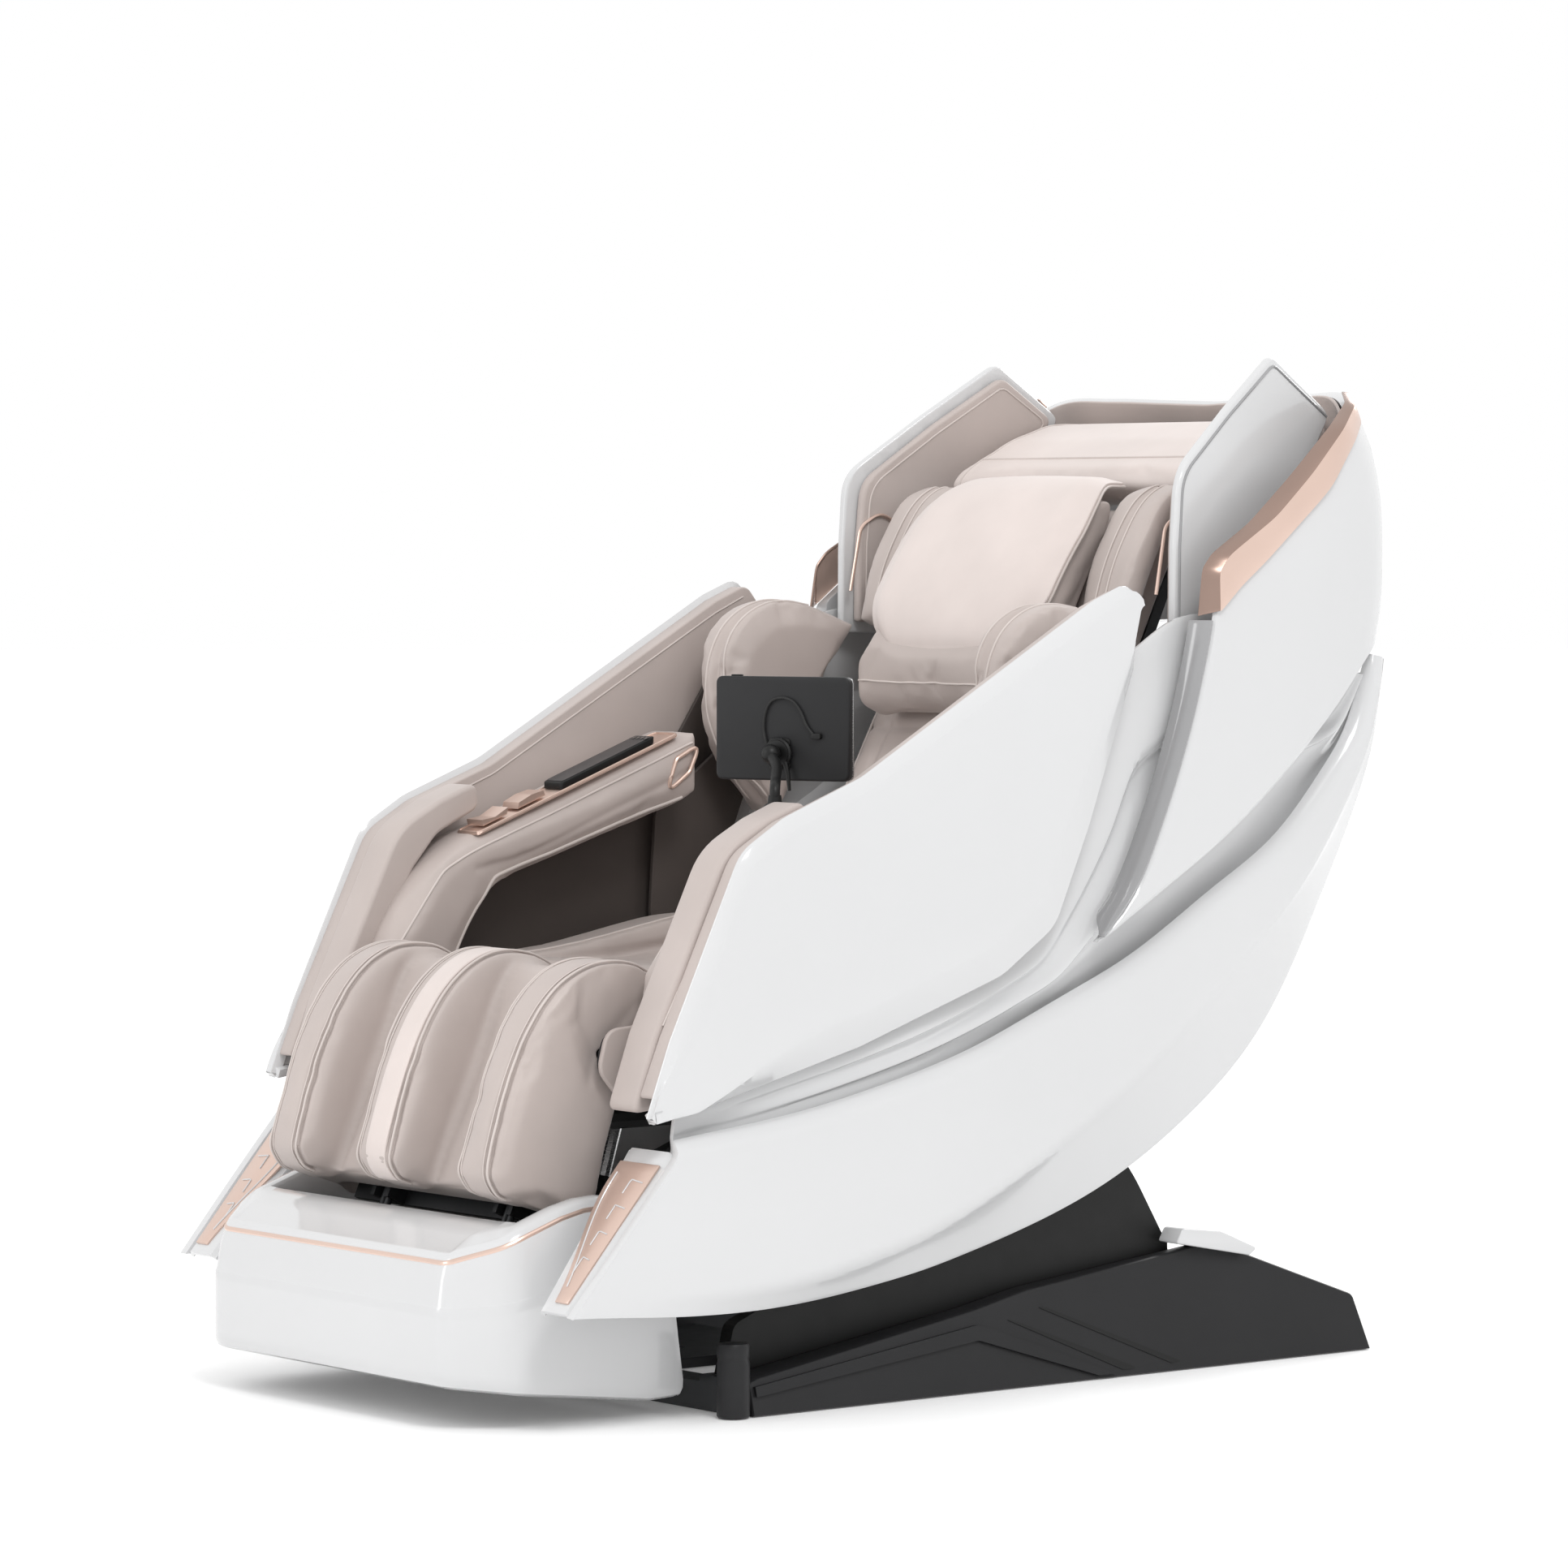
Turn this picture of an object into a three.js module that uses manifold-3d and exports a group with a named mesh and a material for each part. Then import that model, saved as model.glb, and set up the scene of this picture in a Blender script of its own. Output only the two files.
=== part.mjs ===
// A reclining massage chair. Millimetres, +Z up, the sitter faces -Y and +X is the sitter's left.
// The origin is on the floor under the middle of the seat. Side outlines are [y, z] pairs.
import * as THREE from 'three';
import Module from 'manifold-3d';
import { mergeVertices } from 'three/addons/utils/BufferGeometryUtils.js';

const wasm = await Module();
wasm.setup();

// Driving dimensions
const GAP = 0.3;
const HALF_WIDTH = 380;
const TOE_IN = 35;
const SHELL_WALL = 14;
const ARM_PANEL = 24;
const ARM_LINER_IN = 342;
const ARM_INSIDE = 242;
const SEAT_PLATE_IN = 230;
const SEAT_PLATE_OUT = 240;
const CALF_HALF = 226;
const EAR_IN = 197;
const CALF_GROOVE_IN = 42;
const CALF_GROOVE_OUT = 150;
const FOOT_HALF = 280;
const TOWER_IN = 272;
const TOWER_OUT = 292;
const RAIL_IN = 262;
const RAIL_OUT = 294;
const RAIL_HEIGHT = 40;
const BACK_INSIDE = 314;
const WHEEL_RADIUS = 35;

// Pivots, [y, z]
const TILT_PIVOT = [200, 250];
const BACK_PIVOT = [150, 470];
const LEG_PIVOT = [-420, 400];
const ROLLER_AXIS = [-542, 176];

// Directions in the side plane: up the back and out of it, down the calf and out of it
const BACK_UP = [0.4275, 0.904];
const BACK_OUT = [-0.904, 0.4275];
const CALF_DOWN = [-0.407, -0.9135];
const CALF_OUT = [-0.9135, 0.407];

const MATERIALS = {
  gloss_white: [0xf1f1f2, 0.15, 0],
  leather_taupe: [0xc9beb8, 0.5, 0],
  leather_pale: [0xe3dad4, 0.45, 0],
  rose_gold: [0xcdb0a2, 0.3, 0.7],
  black_panel: [0x232324, 0.45, 0],
  base_grey: [0x3c3d3f, 0.5, 0],
  frame_steel: [0x55585c, 0.45, 0.8],
  bright_steel: [0xb9bcc0, 0.25, 1],
  black_plastic: [0x1d1d1f, 0.4, 0],
  rubber: [0x2a2a2b, 0.8, 0],
  cable: [0x18181a, 0.6, 0],
};

const chair = new THREE.Group();

function addPiece(name, geometry, finish) {
  const [color, roughness, metalness] = MATERIALS[finish];
  const mesh = new THREE.Mesh(geometry, new THREE.MeshStandardMaterial({ color, roughness, metalness }));
  mesh.name = name;
  chair.add(mesh);
}

// ---- geometry helpers -------------------------------------------------------------------------

const SIDE_AXES = new THREE.Matrix4().makeBasis(
  new THREE.Vector3(0, 1, 0),
  new THREE.Vector3(0, 0, 1),
  new THREE.Vector3(1, 0, 0),
);

function smoothstep(x, low, high) {
  const t = Math.min(1, Math.max(0, (x - low) / (high - low)));
  return t * t * (3 - 2 * t);
}

const mix = (a, b, t) => a + (b - a) * t;

// A closed outline whose corners are rounded by the radius given as each point's third number
function roundedShape(points) {
  const shape = new THREE.Shape();
  const count = points.length;
  points.forEach(([x, y, radius = 0], i) => {
    const corner = new THREE.Vector2(x, y);
    const before = new THREE.Vector2(...points[(i + count - 1) % count].slice(0, 2));
    const after = new THREE.Vector2(...points[(i + 1) % count].slice(0, 2));
    const reach = (other) => Math.min(radius, corner.distanceTo(other) * 0.48);
    const start = corner.clone().lerp(before, reach(before) / corner.distanceTo(before));
    const end = corner.clone().lerp(after, reach(after) / corner.distanceTo(after));
    if (i === 0) shape.moveTo(start.x, start.y);
    else shape.lineTo(start.x, start.y);
    if (radius > 0) shape.quadraticCurveTo(corner.x, corner.y, end.x, end.y);
  });
  shape.closePath();
  return shape;
}

// A side outline made solid from xLow to xHigh
function sidePlate(points, xLow, xHigh, curveSegments = 4) {
  const geometry = new THREE.ExtrudeGeometry(roundedShape(points), {
    depth: xHigh - xLow,
    bevelEnabled: false,
    curveSegments,
  });
  return geometry.applyMatrix4(SIDE_AXES).translate(xLow, 0, 0);
}

// The same with soft edges, for pads. A corner too tight for the soft edge stays square.
function padPlate(points, xLow, xHigh, bevel = 8) {
  const corners = points.map(([y, z, radius = 0]) => [y, z, radius < 2.5 * bevel ? 0 : radius]);
  const geometry = new THREE.ExtrudeGeometry(roundedShape(corners), {
    depth: xHigh - xLow - 2 * bevel,
    bevelThickness: bevel,
    bevelSize: bevel,
    bevelOffset: -bevel,
    bevelSegments: 2,
    curveSegments: 3,
  });
  return geometry.applyMatrix4(SIDE_AXES).translate(xLow + bevel, 0, 0);
}

function block(x, y, z) {
  const size = [x, y, z].map(([low, high]) => high - low);
  const middle = [x, y, z].map(([low, high]) => (low + high) / 2);
  return new THREE.BoxGeometry(...size).translate(...middle);
}

// A round bar along X
function crossBar(radius, xLow, xHigh, [y, z], sides = 10) {
  const bar = new THREE.CylinderGeometry(radius, radius, xHigh - xLow, sides).rotateZ(Math.PI / 2);
  return bar.translate((xLow + xHigh) / 2, y, z);
}

// A round bar between two points
function barBetween(from, to, radius, sides = 10) {
  const start = new THREE.Vector3(...from);
  const end = new THREE.Vector3(...to);
  const bar = new THREE.CylinderGeometry(radius, radius, start.distanceTo(end), sides);
  const turn = new THREE.Quaternion().setFromUnitVectors(
    new THREE.Vector3(0, 1, 0),
    end.clone().sub(start).normalize(),
  );
  bar.applyQuaternion(turn);
  const middle = start.lerp(end, 0.5);
  return bar.translate(middle.x, middle.y, middle.z);
}

function mirrorX(geometry) {
  const copy = geometry.index ? geometry.toNonIndexed() : geometry.clone();
  const position = copy.attributes.position;
  const swap = new THREE.Vector3();
  const other = new THREE.Vector3();
  copy.scale(-1, 1, 1);
  for (let i = 0; i < position.count; i += 3) {
    swap.fromBufferAttribute(position, i + 1);
    other.fromBufferAttribute(position, i + 2);
    position.setXYZ(i + 1, other.x, other.y, other.z);
    position.setXYZ(i + 2, swap.x, swap.y, swap.z);
  }
  copy.deleteAttribute('normal');
  return copy;
}

function addPair(name, geometry, finish) {
  addPiece(`${name}_left`, geometry, finish);
  addPiece(`${name}_right`, mirrorX(geometry), finish);
}

// Moves every vertex of a geometry: change(x, y, z) gives the new place
function reshape(geometry, change) {
  const position = geometry.attributes.position;
  for (let i = 0; i < position.count; i += 1) {
    position.setXYZ(i, ...change(position.getX(i), position.getY(i), position.getZ(i)));
  }
  geometry.deleteAttribute('normal');
  return geometry;
}

function toSolid(geometry) {
  const bare = geometry.clone();
  bare.deleteAttribute('normal');
  bare.deleteAttribute('uv');
  const merged = mergeVertices(bare, 1e-4);
  return new wasm.Manifold(
    new wasm.Mesh({
      numProp: 3,
      vertProperties: new Float32Array(merged.attributes.position.array),
      triVerts: new Uint32Array(merged.index.array),
    }),
  );
}

function fromSolid(solid) {
  const mesh = solid.getMesh();
  const geometry = new THREE.BufferGeometry();
  geometry.setAttribute('position', new THREE.BufferAttribute(mesh.vertProperties, 3));
  geometry.setIndex(new THREE.BufferAttribute(mesh.triVerts, 1));
  return geometry;
}

const join = (...pieces) => fromSolid(pieces.map(toSolid).reduce((a, b) => a.add(b)));
function cut(piece, ...tools) {
  return fromSolid(tools.map(toSolid).reduce((a, b) => a.subtract(b), toSolid(piece)));
}
const common = (a, b) => fromSolid(toSolid(a).intersect(toSolid(b)));

// A closed solid between an outer and an inner skin, each a function (u, v) -> Vector3
function skinSolid(outer, inner, nu, nv) {
  const vertices = [];
  const faces = [];
  const row = nv + 1;
  for (const skin of [outer, inner]) {
    for (let i = 0; i <= nu; i += 1) {
      for (let j = 0; j <= nv; j += 1) vertices.push(skin(i / nu, j / nv));
    }
  }
  const half = (nu + 1) * row;
  const quad = (a, b, c, d) => faces.push(a, b, c, a, c, d);
  for (let i = 0; i < nu; i += 1) {
    for (let j = 0; j < nv; j += 1) {
      const a = i * row + j;
      quad(a, a + row, a + row + 1, a + 1);
      quad(half + a, half + a + 1, half + a + row + 1, half + a + row);
    }
  }
  for (let i = 0; i < nu; i += 1) {
    const a = i * row;
    const b = a + nv;
    quad(a, half + a, half + a + row, a + row);
    quad(b, b + row, half + b + row, half + b);
  }
  for (let j = 0; j < nv; j += 1) {
    const a = j;
    const b = nu * row + j;
    quad(a, a + 1, half + a + 1, half + a);
    quad(b, half + b, half + b + 1, b + 1);
  }
  let volume = 0;
  for (let i = 0; i < faces.length; i += 3) {
    const [a, b, c] = [0, 1, 2].map((k) => vertices[faces[i + k]]);
    volume += a.dot(b.clone().cross(c));
  }
  if (volume < 0) {
    for (let i = 0; i < faces.length; i += 3) [faces[i + 1], faces[i + 2]] = [faces[i + 2], faces[i + 1]];
  }
  const geometry = new THREE.BufferGeometry();
  const flat = new Float32Array(vertices.flatMap((v) => [v.x, v.y, v.z]));
  geometry.setAttribute('position', new THREE.BufferAttribute(flat, 3));
  geometry.setIndex(faces);
  return geometry;
}

function curve(points) {
  return new THREE.CatmullRomCurve3(points.map((p) => new THREE.Vector3(...p)), false, 'centripetal');
}

const sideCurve = (points) => curve(points.map(([y, z]) => [0, y, z]));

// A point in the side plane from a pivot: `along` one direction and `out` along the other
function sidePoint([y, z], [upY, upZ], [outY, outZ], along, out, radius = 0) {
  return [y + along * upY + out * outY, z + along * upZ + out * outZ, radius];
}
const onBack = (along, out, radius) => sidePoint(BACK_PIVOT, BACK_UP, BACK_OUT, along, out, radius);
const onCalf = (along, out, radius) => sidePoint(LEG_PIVOT, CALF_DOWN, CALF_OUT, along, out, radius);

// ---- base, on the floor -----------------------------------------------------------------------

function makeBase() {
  const rails = [1, -1].map((side) =>
    block([Math.min(side * RAIL_IN, side * RAIL_OUT), Math.max(side * RAIL_IN, side * RAIL_OUT)],
      [-325, 600], [0, RAIL_HEIGHT]));
  const sideToSide = [-RAIL_OUT + 2, RAIL_OUT - 2];
  const axle = crossBar(6, 226, 270, [562, 39]);
  const tiltFoot = join(
    block([-98, -86], [-300, -250], [8, 70]),
    block([-34, -22], [-300, -250], [8, 70]),
    block([-100, -20], [-325, -150], [0, 12]),
  );
  addPiece('base_frame', join(
    ...rails,
    block(sideToSide, [-325, -285], [0, 32]),
    block(sideToSide, [-70, 70], [0, 12]),
    block(sideToSide, [440, 515], [0, 30]),
    block([-100, -20], [-200, -60], [0, 12]),
    tiltFoot,
    axle,
    mirrorX(axle),
  ), 'frame_steel');

  const tower = sidePlate([
    [-312, RAIL_HEIGHT + GAP], [-300, 96, 10], [120, 262, 30], [170, 296, 20], [232, 296, 20],
    [292, 226, 20], [345, 140, 10], [354, RAIL_HEIGHT + GAP],
  ], TOWER_IN, TOWER_OUT);
  const journal = crossBar(14.6, TOWER_IN - 5, TOWER_OUT + 5, TILT_PIVOT, 20);
  addPair('tower_panel', cut(tower, journal), 'black_panel');

  const cover = reshape(sidePlate([
    [-352, 0], [-352, 26, 6], [-305, 42, 8], [20, 92, 20], [100, 108, 20], [398, 142, 8], [604, 66, 8],
    [618, 0],
  ], RAIL_OUT + 2, 352), (x, y, z) => [x > 320 ? mix(352, 314, z / 142) : x, y, z]);
  const frontPost = new THREE.CylinderGeometry(18, 19, 84, 16).rotateX(Math.PI / 2).translate(338, -336, 42);
  addPair('base_cover', join(cover, frontPost), 'base_grey');

  const tyre = [
    [6.3, -11], [30, -11], [WHEEL_RADIUS, -8], [WHEEL_RADIUS, 8], [30, 11], [6.3, 11], [6.3, -11],
  ];
  const wheel = new THREE.LatheGeometry(tyre.map(([r, w]) => new THREE.Vector2(r, w)), 16);
  wheel.rotateZ(Math.PI / 2).translate(244, 562, 39);
  addPair('rear_wheel', wheel, 'rubber');

  const box = block([-95, 95], [430, 520], [30 + GAP, 122]);
  const inlet = block([-60, -28], [505, 530], [60, 84]);
  const switchPocket = block([16, 44], [508, 530], [60, 84]);
  addPiece('power_box', cut(box, inlet, switchPocket), 'black_plastic');
  addPiece('power_switch', sidePlate([
    [509.5, 66], [521, 62.5], [519.5, 72], [523.5, 81.5], [509.5, 78],
  ], 18, 42), 'rubber');
}

// ---- seat body: shells, arms and seat ---------------------------------------------------------

const hullX = (y) => HALF_WIDTH - TOE_IN * smoothstep(y, -120, 180);

const ridge = sideCurve([
  [-445, 306], [-258, 330], [-95, 365], [45, 403], [236, 474], [368, 548], [472, 610], [544, 678],
  [596, 741], [626, 786],
]);
const keel = sideCurve([
  [-593, 135], [-422, 128], [-238, 133], [-36, 160], [176, 208], [329, 284], [454, 385], [555, 544],
  [622, 706], [632, 786],
]);

function makeLowerShell() {
  const outer = (u, v) => {
    const top = ridge.getPoint(u);
    const bottom = keel.getPoint(u);
    const point = top.lerp(bottom, v);
    const tip = smoothstep(u, 0.8, 1);
    const turnedIn = 28 * smoothstep(u, 0, 0.25) * smoothstep(v, 0.35, 1.1) * (1 - 0.7 * tip);
    point.x = hullX(point.y) - turnedIn - 3 * (1 - smoothstep(v, 0, 0.2)) - 5 * tip;
    return point;
  };
  const inner = (u, v) => outer(u, v).add(new THREE.Vector3(-SHELL_WALL, 0, 0));
  addPair('lower_shell', skinSolid(outer, inner, 15, 4), 'gloss_white');

  const plate = skinSolid(
    (u, v) => new THREE.Vector3(mix(362, mix(372, 314, v), u), mix(-600, -458, u) - 2, mix(146, 300, u)),
    (u, v) => new THREE.Vector3(mix(362, mix(372, 314, v), u), mix(-600, -458, u) + 1.5, mix(146, 300, u) + 1.5),
    4, 2,
  );
  addPair('inset_plate', reshape(plate, (x, y, z) => [x, y - 6, z - 4]), 'rose_gold');
}

const bandTop = sideCurve([
  [-425, 348], [-338, 376], [-177, 416], [-54, 454], [29, 486], [80, 515], [125, 590], [180, 700],
  [226, 822],
  [262, 846], [330, 880], [420, 872], [470, 800], [540, 740],
]);
const bandFoot = sideCurve([
  [-432, 300], [-258, 320], [-95, 355], [45, 393], [120, 420], [180, 443], [236, 466], [290, 496],
  [340, 522],
  [368, 540], [472, 602], [540, 666], [590, 728],
]);

function makeSideShell() {
  const outer = (u, v) => {
    const point = bandFoot.getPoint(u).lerp(bandTop.getPoint(u), v);
    const tucked = hullX(point.y) - SHELL_WALL - 8;
    const open = mix(354, 340, smoothstep(point.y, -120, 90));
    point.x = mix(tucked, open, smoothstep(v, 0.05, 0.4));
    return point;
  };
  const inner = (u, v) => outer(u, v).add(new THREE.Vector3(-9, 0, 0));
  addPair('side_shell', skinSolid(outer, inner, 17, 4), 'gloss_white');
}

// Height of the armrest's top at y, over its long straight stretch
const armTop = (y) => 610 + (y + 285) * 0.3775;

const ARM_OUTLINE = [
  [-482, 335, 4], [-448, 424, 40], [-350, 628, 30], [-290, 664, 40], [-180, 706, 60], [160, 900],
  [212, 921, 14],
  [233, 896, 10], [225, 818, 20], [158, 640, 60], [108, 528, 30], [29, 475, 60], [-177, 405, 60],
  [-417, 343, 20],
];

const LINER_OUTLINE = [
  [-470, 362, 4], [-442, 428, 40], [-345, 624, 30], [-287, 658, 40], [-178, 699, 60], [162, 893],
  [210, 913, 12],
  [227, 892, 10], [219, 818, 20], [152, 644, 60], [100, 548, 30], [26, 498, 60], [-177, 428, 60],
  [-412, 366, 20],
];

function makeArms() {
  addPair('arm_panel', sidePlate(ARM_OUTLINE, HALF_WIDTH - ARM_PANEL + GAP, HALF_WIDTH, 3), 'gloss_white');
  const liner = sidePlate(LINER_OUTLINE, ARM_LINER_IN, HALF_WIDTH - ARM_PANEL - GAP, 3);
  addPair('arm_liner', liner, 'leather_taupe');
  addPair('armrest', padPlate([
    [-404, 432], [-396, 492], [-322, 592, 24], [-285, armTop(-285)], [62, armTop(62)], [62, 664],
    [40, 652], [-154, 588, 20], [-240, 562, 40], [-302, 470, 40], [-300, 432],
  ], ARM_INSIDE, ARM_LINER_IN - GAP, 5), 'leather_taupe');
}

function makeControls() {
  const tray = (yLow, yHigh, rise) => [
    [yLow, armTop(yLow) + GAP], [yHigh, armTop(yHigh) + GAP], [yHigh, armTop(yHigh) + rise],
    [yLow, armTop(yLow) + rise],
  ];
  addPiece('control_tray', sidePlate(tray(-262, 34, 4), -298, -250), 'rose_gold');
  const slab = [
    [-138, armTop(-138) + 4.4], [2, armTop(2) + 4.4], [2, armTop(2) + 14], [-130, armTop(-130) + 16],
    [-138, armTop(-138) + 12],
  ];
  addPiece('hand_controller', sidePlate(slab, -293, -255), 'black_plastic');
  addPiece('recline_key', sidePlate([
    [-250, armTop(-250) + 7], [-216, armTop(-216) + 7], [-214, armTop(-214) + 15],
    [-233, armTop(-233) + 11],
    [-252, armTop(-252) + 15],
  ], -290, -258), 'rose_gold');
  addPiece('pause_key', sidePlate([
    [-200, armTop(-200) + 7], [-160, armTop(-160) + 7], [-162, armTop(-162) + 14],
    [-180, armTop(-180) + 16],
    [-198, armTop(-198) + 14],
  ], -290, -258), 'rose_gold');
}

function makeSeat() {
  const profile = [
    [-296, 404, 8], [-296, 462, 24], [-240, 474, 30], [-60, 460, 60], [108, 482, 10], [108, 404, 8],
  ];
  const middle = padPlate(profile, -ARM_INSIDE + 14, ARM_INSIDE - 14, 8);
  const bolster = [
    [-294, 408, 8], [-294, 468, 16], [-152, 478, 60], [62, 518, 20], [92, 500, 14], [92, 408, 8],
  ];
  const left = padPlate(bolster, ARM_INSIDE - 22, ARM_LINER_IN - 24, 7);
  addPiece('seat_cushion', join(middle, left, mirrorX(left)), 'leather_taupe');

  const plate = [
    [-446, 388, 16], [-434, 426, 16], [-402, 426, 16], [-384, 398, 20], [110, 398, 10], [122, 452, 20],
    [132, 496, 20],
    [168, 496, 20], [180, 452, 30], [186, 380, 40], [232, 286, 30], [236, 228, 20], [196, 218, 20],
    [150, 262, 40],
    [60, 330, 60], [-300, 348, 40], [-430, 368, 20],
  ];
  const sidePlateLeft = sidePlate(plate, SEAT_PLATE_IN, SEAT_PLATE_OUT);
  const bar = (place, radius = 11) => crossBar(radius, -SEAT_PLATE_IN - 2, SEAT_PLATE_IN + 2, place, 8);
  const stub = crossBar(14, SEAT_PLATE_IN, TOWER_OUT - 2, TILT_PIVOT, 20);
  const arm = block([SEAT_PLATE_IN + 2, 325], [-280, -246], [350, 376]);
  const rearArm = block([SEAT_PLATE_IN + 2, 325], [90, 124], [350, 376]);
  addPiece('seat_frame', join(
    sidePlateLeft,
    mirrorX(sidePlateLeft),
    bar([-280, 372]),
    bar([60, 372]),
    bar(TILT_PIVOT, 14),
    stub,
    mirrorX(stub),
    arm,
    mirrorX(arm),
    rearArm,
    mirrorX(rearArm),
    block([-76, -70], [-216, -184], [288, 397]),
    block([-50, -44], [-216, -184], [288, 397]),
    block([-SEAT_PLATE_IN - 2, SEAT_PLATE_IN + 2], [-230, 40], [380, 397]),
  ), 'frame_steel');
  addPiece('air_pump', join(
    block([-190, -100], [-150, 10], [322, 379]),
    crossBar(22, -205, -85, [-70, 330], 14),
  ), 'black_plastic');
}

// ---- linear actuators ---------------------------------------------------------------------------

const ROD_RADIUS = 9;
const TUBE_BORE = 10.6;
const EYE_HALF = 7;

// A tube closed at its foot, with the motor and bracket joined on, bored for its rod
function actuatorTube(foot, mouth, boreFrom, ...extras) {
  const start = new THREE.Vector3(...foot);
  const end = new THREE.Vector3(...mouth);
  const along = end.clone().sub(start).normalize();
  const boreStart = start.clone().addScaledVector(along, boreFrom);
  const boreEnd = end.clone().addScaledVector(along, 5);
  const bore = barBetween(boreStart.toArray(), boreEnd.toArray(), TUBE_BORE, 12);
  return cut(join(barBetween(foot, mouth, 20, 12), ...extras), bore);
}

function actuatorRod(from, to, eyePlace) {
  const [x, ...place] = eyePlace;
  return join(barBetween(from, to, ROD_RADIUS), crossBar(ROD_RADIUS, x - EYE_HALF, x + EYE_HALF, place));
}

function makeActuators() {
  addPiece('tilt_actuator', actuatorTube(
    [-60, -276, 52], [-60, -222, 228], 28,
    block([-84, -36], [-288, -264], [40, 64]),
    barBetween([-78, -252, 118], [16, -248, 122], 23, 12),
  ), 'black_plastic');
  addPiece('tilt_rod', actuatorRod([-60, -265, 88], [-60, -201.5, 295], [-60, -200, 300]), 'bright_steel');
  addPiece('back_actuator', actuatorTube(
    [0, 96, 279], [0, 186, 375], 30,
    barBetween([-16, 116, 300], [56, 116, 300], 23, 12),
    block([-9, 9], [52, 100], [266, 300]),
    block([-9, 9], [52, 66], [290, 360.5]),
  ), 'black_plastic');
  addPiece('back_rod', actuatorRod([0, 165.5, 353.1], [0, 234, 427], [0, 236, 429]), 'bright_steel');
  addPiece('leg_actuator', actuatorTube(
    [70, -140, 318], [70, -322, 318], 18,
    barBetween([54, -172, 318], [128, -172, 318], 23, 12),
    block([61, 79], [-216, -190], [318, 379.6]),
  ), 'black_plastic');
  addPiece('leg_rod', actuatorRod([70, -165, 318], [70, -354, 318], [70, -358, 318]), 'bright_steel');
}

// ---- backrest ----------------------------------------------------------------------------------

const shellFoot = curve([
  [380, 166, 508], [380, 260, 563], [380, 366, 628], [379, 453, 695], [374, 530, 764], [361, 590, 818],
  [338, 634, 846], [250, 700, 858], [125, 730, 866], [0, 738, 868],
]);
const shellTop = curve([
  [376, 343, 884], [373, 384, 916], [370, 427, 946], [363, 532, 1030], [345, 588, 1088], [318, 622, 1112],
  [262, 656, 1150], [180, 672, 1160], [90, 680, 1164], [0, 683, 1166],
]);
const shellFront = curve([
  [380, 166, 508], [380, 220, 566], [380, 262, 646], [380, 302, 746], [379, 327, 826], [376, 343, 884],
]);
const shellSpine = curve([[0, 738, 868], [0, 748, 930], [0, 745, 1010], [0, 724, 1090], [0, 683, 1166]]);

// A surface through four boundary curves: u from front to spine, v from foot to top
function patch(u, v) {
  const [a, b] = [shellFoot.getPoint(u), shellTop.getPoint(u)];
  const [c, d] = [shellFront.getPoint(v), shellSpine.getPoint(v)];
  const corners = [shellFoot.getPoint(0), shellFoot.getPoint(1), shellTop.getPoint(0), shellTop.getPoint(1)];
  const point = a.multiplyScalar(1 - v).addScaledVector(b, v).addScaledVector(c, 1 - u).addScaledVector(d, u);
  point.addScaledVector(corners[0], -(1 - u) * (1 - v)).addScaledVector(corners[1], -u * (1 - v));
  return point.addScaledVector(corners[2], -(1 - u) * v).addScaledVector(corners[3], -u * v);
}

function patchNormal(u, v) {
  const step = 0.02;
  const alongU = patch(Math.min(1, u + step), v).sub(patch(Math.max(0, u - step), v));
  const alongV = patch(u, Math.min(1, v + step)).sub(patch(u, Math.max(0, v - step)));
  return alongU.cross(alongV).normalize();
}

// The rear shell wraps from the left edge round the spine to the right edge
function rearSkin(depth) {
  return (w, v) => {
    const u = 1 - Math.abs(2 * w - 1);
    const point = patch(u, v);
    const normal = patchNormal(u, v);
    if (u === 1) normal.setX(0).normalize();
    point.addScaledVector(normal, -depth);
    if (w > 0.5) point.x = -point.x;
    return point;
  };
}

function makeRearShell() {
  const outward = Math.sign(patchNormal(0.2, 0.5).x);
  addPiece('rear_shell', skinSolid(rearSkin(0), rearSkin(20 * outward), 26, 6), 'gloss_white');
  const strip = (u, v) => {
    const point = shellTop.getPoint(u * 0.62);
    const width = mix(1, 0.35, smoothstep(u, 0.55, 1));
    point.x -= mix(1, 17, v);
    point.y -= mix(3, 18, v) * width;
    point.z += 6 + 12 * width * v;
    return point;
  };
  const under = (u, v) => strip(u, v).add(new THREE.Vector3(-4, 0, 0));
  addPair('trim_strip', skinSolid(strip, under, 10, 2), 'rose_gold');
}

// The wings stand on the backrest's sides and lean inwards towards the top and the rear
const wingLean = (y, z) => 316 - 0.165 * Math.max(0, y - 338) - 0.16 * Math.max(0, z - 1049);

function makeWings() {
  const leaning = (points, depth, thickness) => reshape(
    sidePlate(points, -depth - thickness, -depth, 3),
    (x, y, z) => [x + wingLean(y, z), y, z],
  );
  addPair('wing', leaning([
    [331, 852, 6], [332, 960], [338, 1049, 30], [440, 1124], [536, 1189, 12], [637, 1120, 10],
    [560, 1030, 40],
    [450, 930, 40], [398, 852, 10],
  ], 0, 12), 'gloss_white');
  addPair('wing_pad', leaning([
    [344, 866, 6], [345, 960], [352, 1040, 26], [446, 1112], [536, 1172, 12], [616, 1118, 10],
    [548, 1040, 40],
    [440, 944, 40], [388, 866, 10],
  ], 19, 13), 'leather_taupe');
}

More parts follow.
